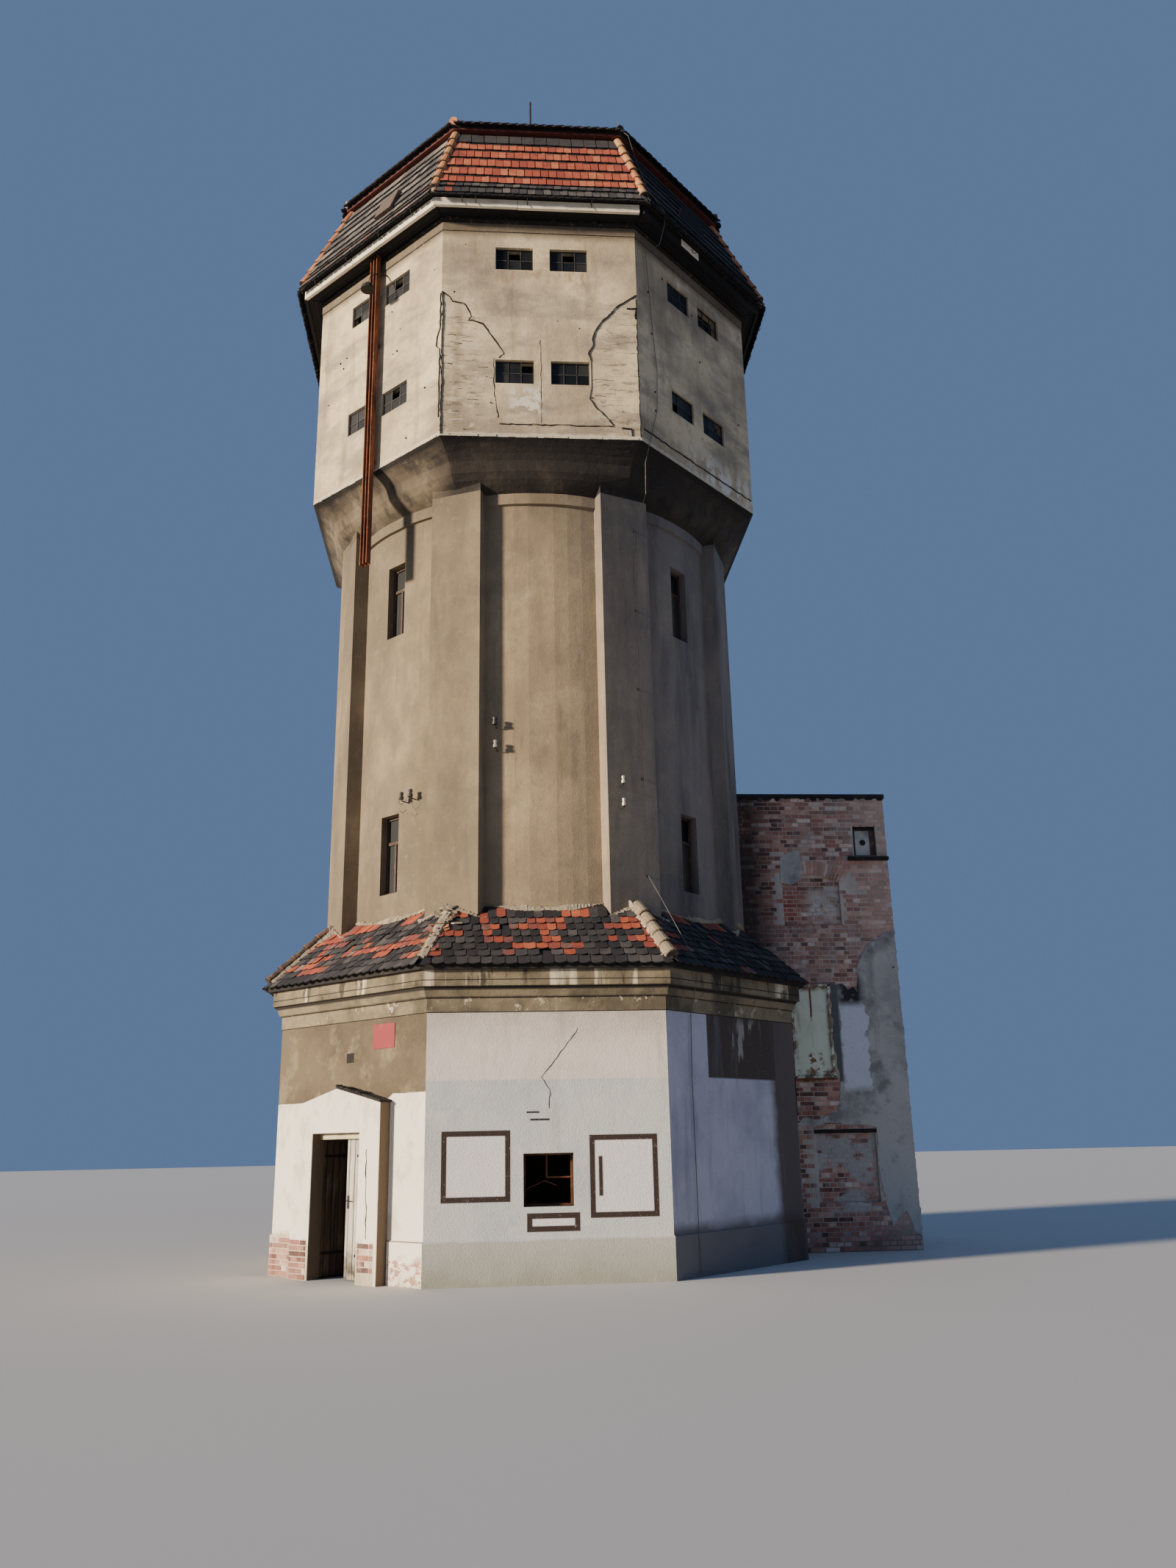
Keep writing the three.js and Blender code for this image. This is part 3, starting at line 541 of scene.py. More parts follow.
def base_door_side():
    m = Finish("base_front_left_paint", "70624d", 0.92)
    m.blotch(0.9, 0.42, 0.62, "564a39", 0.85)
    m.blotch(2.4, 0.54, 0.66, "93846a", 0.6, shift=3.0)
    m.blotch(12.0, 0.55, 0.66, "6f634e", 0.6, shift=3.0)
    z = m.up()
    s = m.across(7)
    out = m.out(7)
    line = m.remap(s, 0.9, 1.0, 2.51, 2.45)
    above = m.math("SUBTRACT", z, line)
    ragged = m.ragged(above, 0.02, 6.0)
    paint = m.math("MAXIMUM", m.remap(ragged, 0.004, -0.004), m.remap(out, 4.12, 4.13))
    m.paint("f6ecda", paint)
    worn = m.spots(2.2, 0.52, 0.62, 0.6, 0.6, 8.0, 6.0, 0.68)
    m.paint("cfc2aa", paint, worn)
    foot = m.ragged(z, 0.2, 3.0)
    m.paint("b3a283", m.remap(foot, 0.6, 0.5, 0.7), m.remap(s, 0.94, 0.9))
    chips = m.spots(7.0, 0.5, 0.56, 0.85, 1.6, 4.0, 5.0, 0.65)
    m.paint("a8705c", m.remap(foot, 0.42, 0.3), m.remap(s, 0.96, 1.0), chips)
    m.paint("8d7c66", m.window(z, 0.555, 0.57, 0.004), m.remap(s, 0.96, 1.0))
    m.paint("8f8468", m.remap(foot, 0.3, 0.0, 0.7), m.noise(2.0))
    m.paint("6f5f4d", m.window(s, 0.964, 0.985, 0.003), m.window(out, 4.075, 4.255, 0.004))
    # Under the head of the doorway, and on every face set back behind the wall: painted shade.
    m.paint("6a5a48", m.window(s, -0.55, 0.56, 0.006), m.remap(out, 4.255, 4.25), m.remap(z, 2.02, 2.01))
    m.paint("332b24", m.remap(out, 4.05, 4.03))
    m.blotch(30.0, 0.62, 0.7, "8f8168", 0.4, shift=6.0)
    return m.plastered(0.005, 0.005)


def base_right_side():
    m = Finish("base_front_right_paint", "c6c4cc", 0.88)
    z = m.up()
    s = m.across(1)
    m.blotch(1.0, 0.44, 0.66, "a3a1ad", 0.7)
    m.paint("4d4339", m.area(1, -0.7, 1.12, 2.67, 3.62, 0.012))
    drips = m.spots(4.0, 0.54, 0.6, tall=0.3, shift=2.0, detail=6.0, rough=0.65)
    m.paint("9b968f", m.area(1, -0.1, 0.7, 2.95, 3.54, 0.08), drips)
    m.paint("5f5b56", m.remap(m.ragged(z, 0.12, 2.0), 0.75, 0.6, 0.85))
    m.paint("544639", m.remap(m.ragged(s, 0.12, 2.0), 0.9, 1.12, 0.92))
    m.streaks(0.54, 0.72, "74707b", 0.6, 3.0)
    m.blotch(28.0, 0.62, 0.7, "7d7a85", 0.5, shift=6.0)
    return m.plastered(0.005, 0.005)


TILE_STOPS = [(0.0, "0f0e10"), (0.14, "262426"), (0.28, "413d3c"), (0.4, "645d58"), (0.5, "8f8478"),
              (0.58, "7a4a44"), (0.68, "98432f"), (0.78, "b25638"), (0.9, "cc7d54"), (1.0, "d6a47a")]


def tile_clay():
    m = Finish("roof_tile_clay", "8a4a33", 0.82)
    m.toned(0.04, 7.0, TILE_STOPS, 3.0)
    m.blotch(4.0, 0.56, 0.72, "2c2624", 0.45)
    m.blotch(30.0, 0.64, 0.74, "9d8f72", 0.35, shift=5.0)
    m.bump(m.noise(60.0, 3.0), 0.0015)
    m.bump(m.noise(12.0, 3.0), 0.003)
    return m.done()


def ridge_clay():
    m = Finish("ridge_tile_clay", "b57a4e", 0.85)
    m.toned(0.12, 9.0, [(0.0, "2c2826"), (0.3, "7a5b48"), (0.55, "b26a41"), (0.74, "cf9159"),
                        (0.86, "9c8a6c"), (1.0, "877963")])
    m.blotch(5.0, 0.55, 0.68, "8a7a5c", 0.5)
    m.bump(m.noise(30.0), 0.003)
    return m.done()


def brick_clay():
    m = Finish("annex_brick_clay", "6f3a2d", 0.92)
    m.toned(0.12, 12.0, [(0.0, "56403d"), (0.25, "84574b"), (0.5, "a56f60"), (0.75, "c0917d"),
                         (1.0, "dbc8ba")])
    m.blotch(1.1, 0.5, 0.7, "8c837b", 0.5)
    m.blotch(5.0, 0.58, 0.7, "b5ab9f", 0.5, shift=6.0)
    m.streaks(0.55, 0.7, "2c2825", 0.5)
    x = m.across(0)
    front = m.window(m.out(0), 0.52, 0.7, 0.02)
    m.paint("9c4436", m.area(0, 4.36, 4.66, 5.5, 5.98, 0.05), m.spots(5.0, 0.4, 0.5, 0.7))
    # Paler towards the right end of the front: painted light.
    m.paint("d8bcac", front, m.remap(x, 5.3, 6.2, 0.5))
    lime = m.spots(6.0, 0.42, 0.52, 0.85, detail=5.0)
    m.paint("cbc5bb", m.area(0, 4.8, 5.36, 5.5, 6.0, 0.08), lime)
    m.paint("aeb0ad", m.area(0, 4.55, 5.7, 0.6, 1.95, 0.06), m.spots(2.6, 0.44, 0.5, 0.85, detail=6.0))
    smear = m.spots(2.2, 0.5, 0.6, 0.65, shift=4.0, detail=6.0, rough=0.68)
    m.paint("a49b92", front, m.area(0, 4.5, 5.6, 4.4, 7.4, 0.3), smear)
    # Near-black by the tower: painted shade in the corner.
    m.paint("181517", front, m.remap(x, 4.35, 3.8, 0.85), m.remap(m.noise(1.5), 0.3, 0.5, 1.0, 0.5))
    m.bump(m.noise(34.0), 0.004)
    return m.done()


def brick_mortar():
    m = Finish("annex_mortar", "bcb2a5", 0.96)
    m.blotch(1.2, 0.45, 0.66, "90857a", 0.7)
    m.blotch(3.0, 0.52, 0.66, "cdc6bc", 0.7, shift=3.0)
    # Near-black by the tower: painted shade in the corner.
    m.paint("151315", m.window(m.out(0), 0.52, 0.7, 0.02), m.remap(m.across(0), 4.35, 3.8, 0.9))
    m.paint("4a433b", m.remap(m.up(), 0.5, 0.1, 0.6))
    m.bump(m.noise(30.0), 0.006)
    return m.done()


def grey_render():
    m = Finish("annex_grey_render", "bab7b0", 0.93)
    x = m.across(0)
    m.blotch(0.9, 0.44, 0.62, "989590", 0.8)
    m.blotch(1.8, 0.5, 0.64, "74726f", 0.75, shift=2.0)
    m.blotch(5.0, 0.54, 0.66, "b9b7b2", 0.6, shift=6.0)
    edge = m.math("ADD", x, m.remap(m.noise(5.0, 5.0), 0.3, 0.7, 0.07, -0.07))
    m.paint("d4d4dc", m.window(edge, 5.19, 5.65, 0.01), m.window(m.up(), 2.58, 4.02, 0.06), 0.92)
    m.paint("2e2e2e", m.area(0, 5.18, 5.6, 4.0, 4.5, 0.07), m.spots(3.0, 0.3, 0.45))
    m.paint("5d6061", m.area(0, 5.02, 5.18, 2.7, 4.4, 0.02))
    m.paint("b4b5b1", m.area(0, 5.5, 6.4, 0.0, 1.3, 0.15), m.spots(2.0, 0.38, 0.5, 0.75))
    m.streaks(0.54, 0.7, "4d4c4a", 0.55)
    m.blotch(26.0, 0.6, 0.7, "5b5a57", 0.5, shift=6.0)
    return m.plastered(0.012, 0.005)


def plain(name, colour, rough, metal, blotches, *bumps):
    """A material of blotches and bumps only."""
    m = Finish(name, colour, rough, metal)
    for blotch in blotches:
        m.blotch(*blotch)
    for distance, *grain in bumps:
        m.bump(m.noise(*grain), distance)
    return m.done()


def board(name, colour, dark, pale, rough=0.8):
    blotches = [(3.0, 0.45, 0.66, dark, 0.6), (11.0, 0.55, 0.68, pale, 0.6, 1.0, 5.0)]
    return plain(name, colour, rough, 0.0, blotches, (0.003, 22.0, 4.0, 0.7))


def green_steel():
    m = Finish("painted_steel_door", "dbe0c8", 0.7, 0.0)
    m.blotch(3.0, 0.48, 0.66, "c0c6ac", 0.6)
    m.streaks(0.58, 0.68, "84603f", 0.7, 5.0)
    edge = m.math("SUBTRACT", 1.0, m.area(0, 4.42, 4.98, 2.9, 4.24, 0.03))
    m.paint("6d4127", edge, m.spots(7.0, 0.44, 0.54, 0.85, detail=5.0))
    m.paint("6a3d22", m.area(0, 4.68, 4.715, 3.72, 4.26, 0.008), m.spots(9.0, 0.35, 0.45))
    m.paint("83512c", m.area(0, 4.6, 4.85, 2.85, 3.2, 0.04), m.spots(10.0, 0.52, 0.58))
    m.bump(m.noise(30.0), 0.002)
    return m.done()


def door_boards(name, f, colour, dark, pale):
    """Upright boards with dark joints; the axis runs across the boards."""
    m = Finish(name, colour, 0.8)
    across = m.across(f)
    grain = m.noise(16.0, 5.0, 0.65, 0.06, 4.0)
    m.paint(dark, m.remap(grain, 0.42, 0.62, 0.8))
    m.blotch(5.0, 0.52, 0.66, pale, 0.6, 0.3, 7.0)
    m.paint("4a3c2e", m.remap(m.up(), 0.8, 0.1), m.spots(4.0, 0.35, 0.6))
    joint = m.window(m.math("FRACT", m.math("DIVIDE", across, 0.118), 0.0), 0.44, 0.56, 0.03)
    m.paint("1d1713", joint, 0.9)
    m.bump(m.math("MULTIPLY", joint, -1.0), 0.006)
    m.bump(grain, 0.003)
    return m.done()


def dusty_glass():
    m = Finish("dusty_glass", "14171b", 0.45)
    m.shader.inputs["Specular IOR Level"].default_value = 0.25
    m.toned(0.1, 4.0, [(0.0, "060606"), (0.5, "1d1e20"), (1.0, "43423f")])
    m.bump(m.noise(6.0), 0.001)
    return m.done()


def porcelain():
    m = Finish("brown_porcelain", "3a2a24", 0.25)
    m.toned(0.05, 9.0, [(0.0, "201a18"), (1.0, "8f8578")])
    return m.done()


def vent_clay():
    m = Finish("vent_clay", "5b4b45", 0.85)
    m.blotch(8.0, 0.5, 0.66, "8a5c48", 0.6)
    # The vent's front face near-black: painted shade in its opening.
    m.paint("0a090a", m.remap(m.out(1), 4.135, 4.145))
    return m.done()


SHAFT = shaft_plaster()
TANK = tank_plaster()
TILE = tile_clay()
RIDGE = ridge_clay()
MORTAR = plain("pale_mortar", "a99a80", 0.95, 0.0,
               [(8.0, 0.45, 0.66, "7a7060", 0.8), (3.0, 0.55, 0.7, "c7bda9", 0.6, 1.0, 4.0)], (0.012, 18.0))
BRICK = brick_clay()
GREY = grey_render()
CREAM = board("old_fascia_boards", "efe4cb", "cbbd9f", "f7efdc")
MAROON = board("cap_soffit_boards", "5c2a22", "2d1714", "7d3c2e")
# Near-black boards: painted shade, on the eaves' underside and soffit, the fascias turned from the light, and
# in the gaps of cracks.
BLACK = board("eaves_soffit_painted_shade", "14110f", "0a0908", "221d19")
FRAME = board("window_frame_paint", "4f3a2c", "2f241d", "7a6450")
STEEL_BAR = board("window_steel_bars", "3a3733", "22201e", "5a5148", 0.7)
RUST = plain("rusted_steel", "7c4a30", 0.85, 0.1,
             [(5.0, 0.42, 0.62, "4f2a18", 0.8, 0.4), (16.0, 0.55, 0.7, "a8703f", 0.6, 1.0, 3.0)],
             (0.002, 50.0))
IRON = plain("dark_iron", "2b2927", 0.75, 0.3, [(12.0, 0.5, 0.68, "4f3526", 0.7)], (0.001, 60.0))
GLASS = dusty_glass()
FELT = plain("bitumen_felt", "1f1f21", 0.9, 0.0, [(3.0, 0.5, 0.68, "34332f", 0.7)], (0.004, 40.0))
# The left leaf's boards are coloured a darker brown than the right leaf's: painted shade on the open leaf.
DOOR_BROWN = door_boards("door_left_boards_painted_shade", 1, "6b5842", "3a2e23", "95836a")
DOOR_PALE = door_boards("door_right_boards", 7, "cdc6b6", "8d8270", "e2dccd")
GREEN = green_steel()
CONCRETE = plain("old_concrete", "6f6a60", 0.95, 0.0,
                 [(2.0, 0.45, 0.65, "4c473f", 0.8), (6.0, 0.55, 0.7, "8f897c", 0.6, 1.0, 2.0)],
                 (0.008, 5.0, 4.0, 0.55), (0.003, 42.0, 3.0, 0.7))
# Near-black brown: painted shade on the solids under the tiles and in niches; the coping, frames and shelf
# take it too.
SHADE = board("slope_under_tiles", "2a2522", "171413", "4a423a", 0.95)
HATCH = board("hatch_sheet", "5d4d43", "3a2f29", "78685b")
REDPLATE = plain("red_enamel", "8e1a1c", 0.6, 0.0,
                 [(9.0, 0.55, 0.68, "a8443f", 0.4), (20.0, 0.6, 0.72, "6b2a22", 0.6, 1.0, 3.0)])
CABLE = board("conductor_metal", "67635c", "45413b", "8a867e", 0.6)
PORCELAIN = porcelain()


def paint_solids():
    door = base_door_side()
    # The solids under the tiles take SHADE and the eaves take BLACK: painted shade.
    looks = {"base_wall_door": door, "door_surround": door, "base_wall_front_right": base_right_side(),
             "base_wall_front": base_front(), "base_wall": base_plain(), "base_cornice": cornice_plaster(),
             "tank_flare": flare_plaster(), "skirt_roof": SHADE, "tank_eaves": BLACK, "roof_cap": MAROON,
             "roof_lower_slope": SHADE, "roof_vent": vent_clay(), "roof_hatch": HATCH,
             "roof_finial_rod": IRON, "gauge_guide": RUST, "wall_lamp": IRON, "annex_roof": FELT,
             "annex_steel_door": GREEN,
             "annex_shelf": SHADE, "annex_wall": brick_mortar(), "shaft_wall": SHAFT, "tank_wall": TANK,
             "door_head_board": board("door_head_paint", "d5c9a4", "a89a72", "e6dcc0"), "door_pivot": IRON,
             "door_leaf_left": DOOR_BROWN, "door_leaf_right": DOOR_PALE, "glazing": GLASS}
    for name in nodes:
        fits = [look for part, look in looks.items() if part in name]
        for entry in nodes[name].material_slots:
            entry.material = fits[0] if fits else CONCRETE


paint_solids()


# Roof tiles
def tile_shape(s0, s1, t0, t1, bulge, steps):
    shape = [(s1, t1), (s0, t1)]
    for i in range(steps + 1):
        u = i / steps
        shape.append((s0 + (s1 - s0) * u, t0 - bulge * math.sin(math.pi * u)))
    return shape


def lay_tile(build, slope, s0, s1, t0, t1, base, lift, thick, tone, bulge, steps):
    """One tile, cut to the slope; its low edge stands higher by the lift."""
    shape = tile_shape(s0, s1, t0, t1, bulge, steps)
    for side in (-1, 1):
        shape = clip(shape, side, lambda t: slope.half(t) - 0.03)
        if len(shape) < 3:
            return
    tilt = vary(-0.004, 0.004)
    low = []
    high = []
    for s, t in shape:
        h = base + lift * (t1 - t) / (t1 - t0) + tilt * (s - s0) / (s1 - s0)
        low.append(slope.at(s, t, h))
        high.append(slope.at(s, t, h + thick))
    # The tile's edges and butts take tone 0.06, near-black: painted shade under the tile.
    build.solid(low, high, 0.06, tone)


def crown_course(build, slope, t0, t1, width, tone_of, bulge=0.008):
    """One crown course: a lower layer, then an upper layer half a tile over."""
    reach = slope.half(t0) + width
    count = int(2 * reach / width) + 1
    for layer in (0, 1):
        for i in range(count):
            s0 = -reach + (i + 0.5 * layer) * width + vary(-0.004, 0.004)
            drop = vary(-0.006, 0.006) + (0.04 if layer == 0 else 0.0)
            base = 0.002 + 0.021 * layer
            # The lower layer, seen between the upper tiles, is near-black: dirt, and painted shade between
            # the layers.
            tone = tone_of(s0 + width / 2, t0) if layer else vary(0.03, 0.16)
            lay_tile(build, slope, s0 + 0.006, s0 + width - 0.006, t0 - drop, t1 + 0.02,
                     base, 0.03, 0.018, tone, bulge, 4)


ROW_Z = [17.245, 17.45, 17.59, 17.85, 18.16, 18.47, 18.76, 19.01, 19.32]


def lower_slope(f):
    return Slope(f, (SLOPE_A, EAVE_Z), (SLOPE_TOP_A, SLOPE_TOP_Z))


def cap_slope(f):
    return Slope(f, (CAP_A, CAP_EDGE_Z), (0.0, CAP_APEX_Z))


def patchy(x, y, z, seed):
    wave = math.sin(x * 2.3 + seed) * math.sin(y * 1.9 + 2.1 * seed)
    return wave + 0.6 * math.sin(z * 2.7 + x * 3.1 + seed)


def lower_tone(f, row):
    def tone(s, t):
        if f == 0 and 2 <= row <= 6:
            return vary(0.68, 0.86)
        if f == 0 and row < 2:
            return 0.66 if rng.random() < 0.07 else vary(0.2, 0.4)
        if f == 0:
            return vary(0.2, 0.3)
        if f == 1:
            return vary(0.08, 0.24)
        if f == 7:
            red = row < 2 and rng.random() < 0.2
            return vary(0.54, 0.6) if red else vary(0.3, 0.48)
        red = patchy(s, t, row, f) > 0.35
        return vary(0.6, 0.8) if red and rng.random() < 0.8 else vary(0.14, 0.4)
    return tone


def lower_tiles():
    build = Build()
    for f in range(8):
        slope = lower_slope(f)
        for row in range(8):
            t0 = slope.t_of(ROW_Z[row])
            t1 = slope.t_of(ROW_Z[row + 1])
            width = TOP_COURSE_TILE if row == 7 else SLOPE_TILE
            crown_course(build, slope, t0, t1, width, lower_tone(f, row))
    build.make("roof_tiles_lower", TILE, "roof_tile")


def cap_tiles():
    build = Build()
    for f in range(8):
        slope = cap_slope(f)
        pitch = slope.run / CAP_COURSES
        for row in range(CAP_COURSES - 1):
            start = row * pitch - (0.04 if row == 0 else 0.0)
            crown_course(build, slope, start, (row + 1) * pitch, CAP_TILE, lambda s, t: vary(0.0, 0.3), 0.034)
        edge = CAP_A + 0.012
        build.block(f, -edge * T, edge * T, CAP_A - 0.02, edge, CAP_EDGE_Z - 0.03, CAP_EDGE_Z + 0.015, 0.03)
    build.make("roof_tiles_cap", TILE, "roof_tile")


def skirt_slope(f):
    return Slope(f, (SKIRT_A, SKIRT_Z), (3.4, SKIRT_Z + 0.9))


def skirt_tones(count, share):
    """Tones along one row: runs of charcoal tiles, broken by short runs of red ones."""
    tones = []
    while len(tones) < count:
        red = rng.random() < share
        for i in range(rng.randint(1, 4) if red else rng.randint(1, 5)):
            tones.append(vary(0.54, 0.82) if red else vary(0.08, 0.34))
    return tones


def skirt_limit(f, s, a):
    """True where a skirt tile stays clear of the annex."""
    p = on_face(f, s, a, 0)
    return not (p.x > 2.0 and ANNEX_Y - 0.02 < p.y < ANNEX_Y1 + 0.02)


def shaft_out(s):
    """How far out the shaft's surface is at s along a face."""
    edge = PANEL_R * math.sin(CORNER - math.asin(PILASTER_W / PANEL_R))
    if abs(s) < edge:
        return math.sqrt(PANEL_R ** 2 - s * s)
    return PILASTER_A / math.cos(CORNER) - abs(s) * T


def skirt_tiles():
    build = Build()
    for f in range(8):
        slope = skirt_slope(f)
        for row in range(8):
            t0 = row * SKIRT_PITCH - (0.055 if row == 0 else 0.03)
            width = SKIRT_TILE if row < 3 else SKIRT_UPPER_TILE
            share = 0.16 if row == 0 or f == 1 else 0.45
            tones = skirt_tones(60, share)
            reach = slope.half(t0) + width
            for i in range(int(2 * reach / width) + 1):
                s0 = -reach + (i + 0.5 * (row % 2)) * width + vary(-0.006, 0.006)
                a = SKIRT_A - (t0 + 0.1) * 0.7071
                if not (skirt_limit(f, s0, a) and skirt_limit(f, s0 + width, a)):
                    continue
                free = (a - shaft_out(s0 + width / 2)) / 0.7071 + 0.08
                if free < 0.07:
                    continue
                if rng.random() < 0.03 and row > 0:
                    continue
                base = 0.006 + vary(0, 0.008)
                lay_tile(build, slope, s0 + 0.003, s0 + width - 0.003, t0 + vary(-0.012, 0.012),
                         t0 + min(2 * SKIRT_PITCH, free + 0.1), base, 0.034, 0.017, tones[i], 0.03, 5)
    build.make("skirt_tiles", TILE, "roof_tile")


# Half-round tiles and mortar along the hips
def run_axes(low, high, out):
    """Directions along a run, across it and off the roof."""
    d = (high - low).normalized()
    side = d.cross(out).normalized()
    return d, side, side.cross(d).normalized()


def hip_run(build, low, high, out, radius, pitch, tones, lift=0.02):
    """Overlapping half-round tiles from low to high."""
    d, side, over = run_axes(low, high, out)
    length = (high - low).length
    count = max(1, round(length / pitch))
    pitch = length / count
    arc = [math.radians(-100 + 200 * k / 7) for k in range(8)]

    def ring(place, size, rise):
        return [place + over * (rise + size * math.cos(q)) + side * size * math.sin(q) for q in arc]

    for i in range(count):
        tone = vary(*tones)
        shift = side * vary(-0.01, 0.01) + over * vary(-0.006, 0.006)
        start = low + d * (i * pitch - 0.02) + shift
        end = low + d * ((i + 1) * pitch + 0.03) + shift
        # The ends of each half-round tile and collar take a near-black tone: painted shade under the hollow
        # tile.
        build.solid(ring(start, radius, lift), ring(end, radius * 0.84, lift - 0.012), tone, 0.05)
        build.solid(ring(start + d * 0.012, radius * 1.07, lift), ring(start + d * 0.04, radius * 1.05, lift),
                    min(1.0, tone + 0.2), 0.1)


def mortar_run(build, low, high, out, width, tall):
    """A lumpy bed of mortar under the hip tiles."""
    d, side, over = run_axes(low, high, out)
    length = (high - low).length
    steps = int(length / 0.05)
    for i in range(steps):
        p = low + d * (length * i / steps)
        q = low + d * (length * (i + 1.15) / steps)
        w = width * vary(0.85, 1.12)
        h = tall * vary(0.7, 1.2)
        ring = [(-w, -0.04), (-w * 0.7, h * 0.6), (0, h), (w * 0.7, h * 0.6), (w, -0.04)]
        build.solid([p + side * u + over * v for u, v in ring], [q + side * u + over * v for u, v in ring])


def corner(k, a, z):
    """Corner k of the octagon, which lies between face k and face k + 1."""
    return at_angle(22.5 + 45 * k, a / math.cos(CORNER), z)


def hips():
    tiles = Build()
    bed = Build()
    for k in range(8):
        out = at_angle(22.5 + 45 * k, 1, 0)
        low = corner(k, SLOPE_A - 0.055, EAVE_Z + 0.12)
        high = corner(k, SLOPE_TOP_A + 0.03, SLOPE_TOP_Z - 0.05)
        pale = 0.7 if k in (0, 7) else 0.55
        hip_run(tiles, low, high, out + UP * 0.4, 0.088, 0.29, (pale - 0.14, pale + 0.12))
        mortar_run(bed, corner(k, SLOPE_A - 0.01, EAVE_Z + 0.02), high, out + UP * 0.4, 0.115, 0.03)
        low = corner(k, CAP_A - 0.06, CAP_EDGE_Z + 0.035)
        high = corner(k, 0.12, CAP_APEX_Z - 0.06)
        hip_run(tiles, low, high, out * 0.5 + UP, 0.09, 0.31, (0.0, 0.25))
        mortar_run(bed, low, high, out * 0.5 + UP, 0.11, 0.03)
    for k, build, size, tone in ((7, tiles, 0.085, 0.6), (6, bed, 0.075, 0.5), (0, tiles, 0.07, 0.05),
                                 (1, tiles, 0.11, 0.05), (5, bed, 0.075, 0.5)):
        start = corner(k, CAP_A - 0.2, CAP_EDGE_Z + 0.15)
        build.tube([start, corner(k, CAP_A + 0.015, CAP_EDGE_Z + 0.09)], size, tone, 9)
        bed.tube([start, start + UP * (size + 0.02)], size * 0.4, tone, 7)
    tiles.make("roof_hip_tiles", RIDGE, "roof_tile")
    bed.make("roof_hip_mortar", MORTAR, "plaster")


def skirt_ridge(k, r, lift):
    """A point on the corner line between two skirt slopes, r out from the axis."""
    return at_angle(22.5 + 45 * k, r, SKIRT_Z + SKIRT_A - r * math.cos(CORNER) + lift)


def skirt_hips():
    tiles = Build()
    bed = Build()
    for k in (0, 3, 4, 5, 6):
        out = at_angle(22.5 + 45 * k, 1, 0)
        low = skirt_ridge(k, 4.62, 0.045)
        high = skirt_ridge(k, 3.68, 0.06)
        tone = 0.95 if k == 0 else 0.06
        size = 0.1 if k == 0 else 0.085
        hip_run(tiles, low, high, out + UP, size, 0.27, (tone - 0.05, tone + 0.1), 0.03)
        mortar_run(bed, low, high, out + UP, 0.13, 0.035)
        bed.tube([high - out * 0.02, high + out * 0.06], 0.09, 0.5, 7)
    low = skirt_ridge(7, 4.58, 0.04)
    high = skirt_ridge(7, 3.66, 0.05)
    mortar_run(bed, low, high, at_angle(-22.5, 1, 0) + UP, 0.1, 0.04)
    for i in range(34):
        away = vary(-0.13, 0.13)
        place = low.lerp(high, (i + 0.5) / 34) + at_angle(67.5, away, 0.01 - 0.3 * abs(away))
        shard(tiles, place, vary(0.04, 0.08), rng.choice((0.1, 0.5, 0.58, 0.64)))
    for i in range(18):
        away = vary(-0.2, 0.24)
        place = high.lerp(low, vary(0.0, 0.3)) + at_angle(67.5, away, 0.02 - 0.3 * abs(away))
        shard(bed, place, vary(0.03, 0.07), 0.5)
    tiles.make("skirt_hip_tiles", RIDGE, "roof_tile")
    bed.make("skirt_hip_mortar", MORTAR, "plaster")


def shard(build, place, size, tone):
    """A broken piece of tile lying on the roof."""
    turn = vary(0, math.pi)
    tilt = Vector((vary(-0.4, 0.3), vary(-0.9, -0.1), 1)).normalized()
    across = tilt.cross(Vector((math.cos(turn), math.sin(turn), 0))).normalized()
    away = tilt.cross(across)
    turns = (0.2, 1.3, 2.9, 4.1, 5.2)
    ring = [place + across * size * math.cos(q) * 1.3 + away * size * math.sin(q) for q in turns]
    build.solid(ring, [p + tilt * 0.018 for p in ring], 0.1, tone)


def shaft_fillet():
    """Lumpy mortar where the skirt's tiles meet the shaft."""
    build = Build()
    step = 0.05
    for f in range(8):
        half = PILASTER_A * T
        for i in range(int(2 * half / step)):
            s = -half + i * step
            a = max(shaft_out(s), shaft_out(s + step))
            if not (skirt_limit(f, s, a) and skirt_limit(f, s + step, a)):
                continue
            z = SKIRT_Z + (SKIRT_A - a) + 0.02
            wave = 0.5 + 0.5 * math.sin(s * 5.1 + f) * math.sin(s * 2.3 + 2 * f)
            reach = 0.02 + 0.05 * wave + vary(0.0, 0.012)
            tall = 0.015 + 0.06 * wave + vary(0.0, 0.015)
            ring = [(a - 0.06, z + tall), (a + 0.012, z + tall), (a + reach, z + 0.05 - reach),
                    (a - 0.06, z - 0.05)]
            build.solid([on_face(f, s, out, up) for out, up in ring],
                        [on_face(f, s + step, out, up + vary(-0.01, 0.01)) for out, up in ring])
    build.make("shaft_foot_mortar", MORTAR, "plaster")


lower_tiles()
cap_tiles()
skirt_tiles()
hips()
skirt_hips()
shaft_fillet()


# Eaves: fascia boards, soffit boards, gutter hooks
HOOK = [(0.05, 17.26), (0.07, 17.2), (0.09, 17.13), (0.13, 17.1), (0.18, 17.12), (0.2, 17.18)]


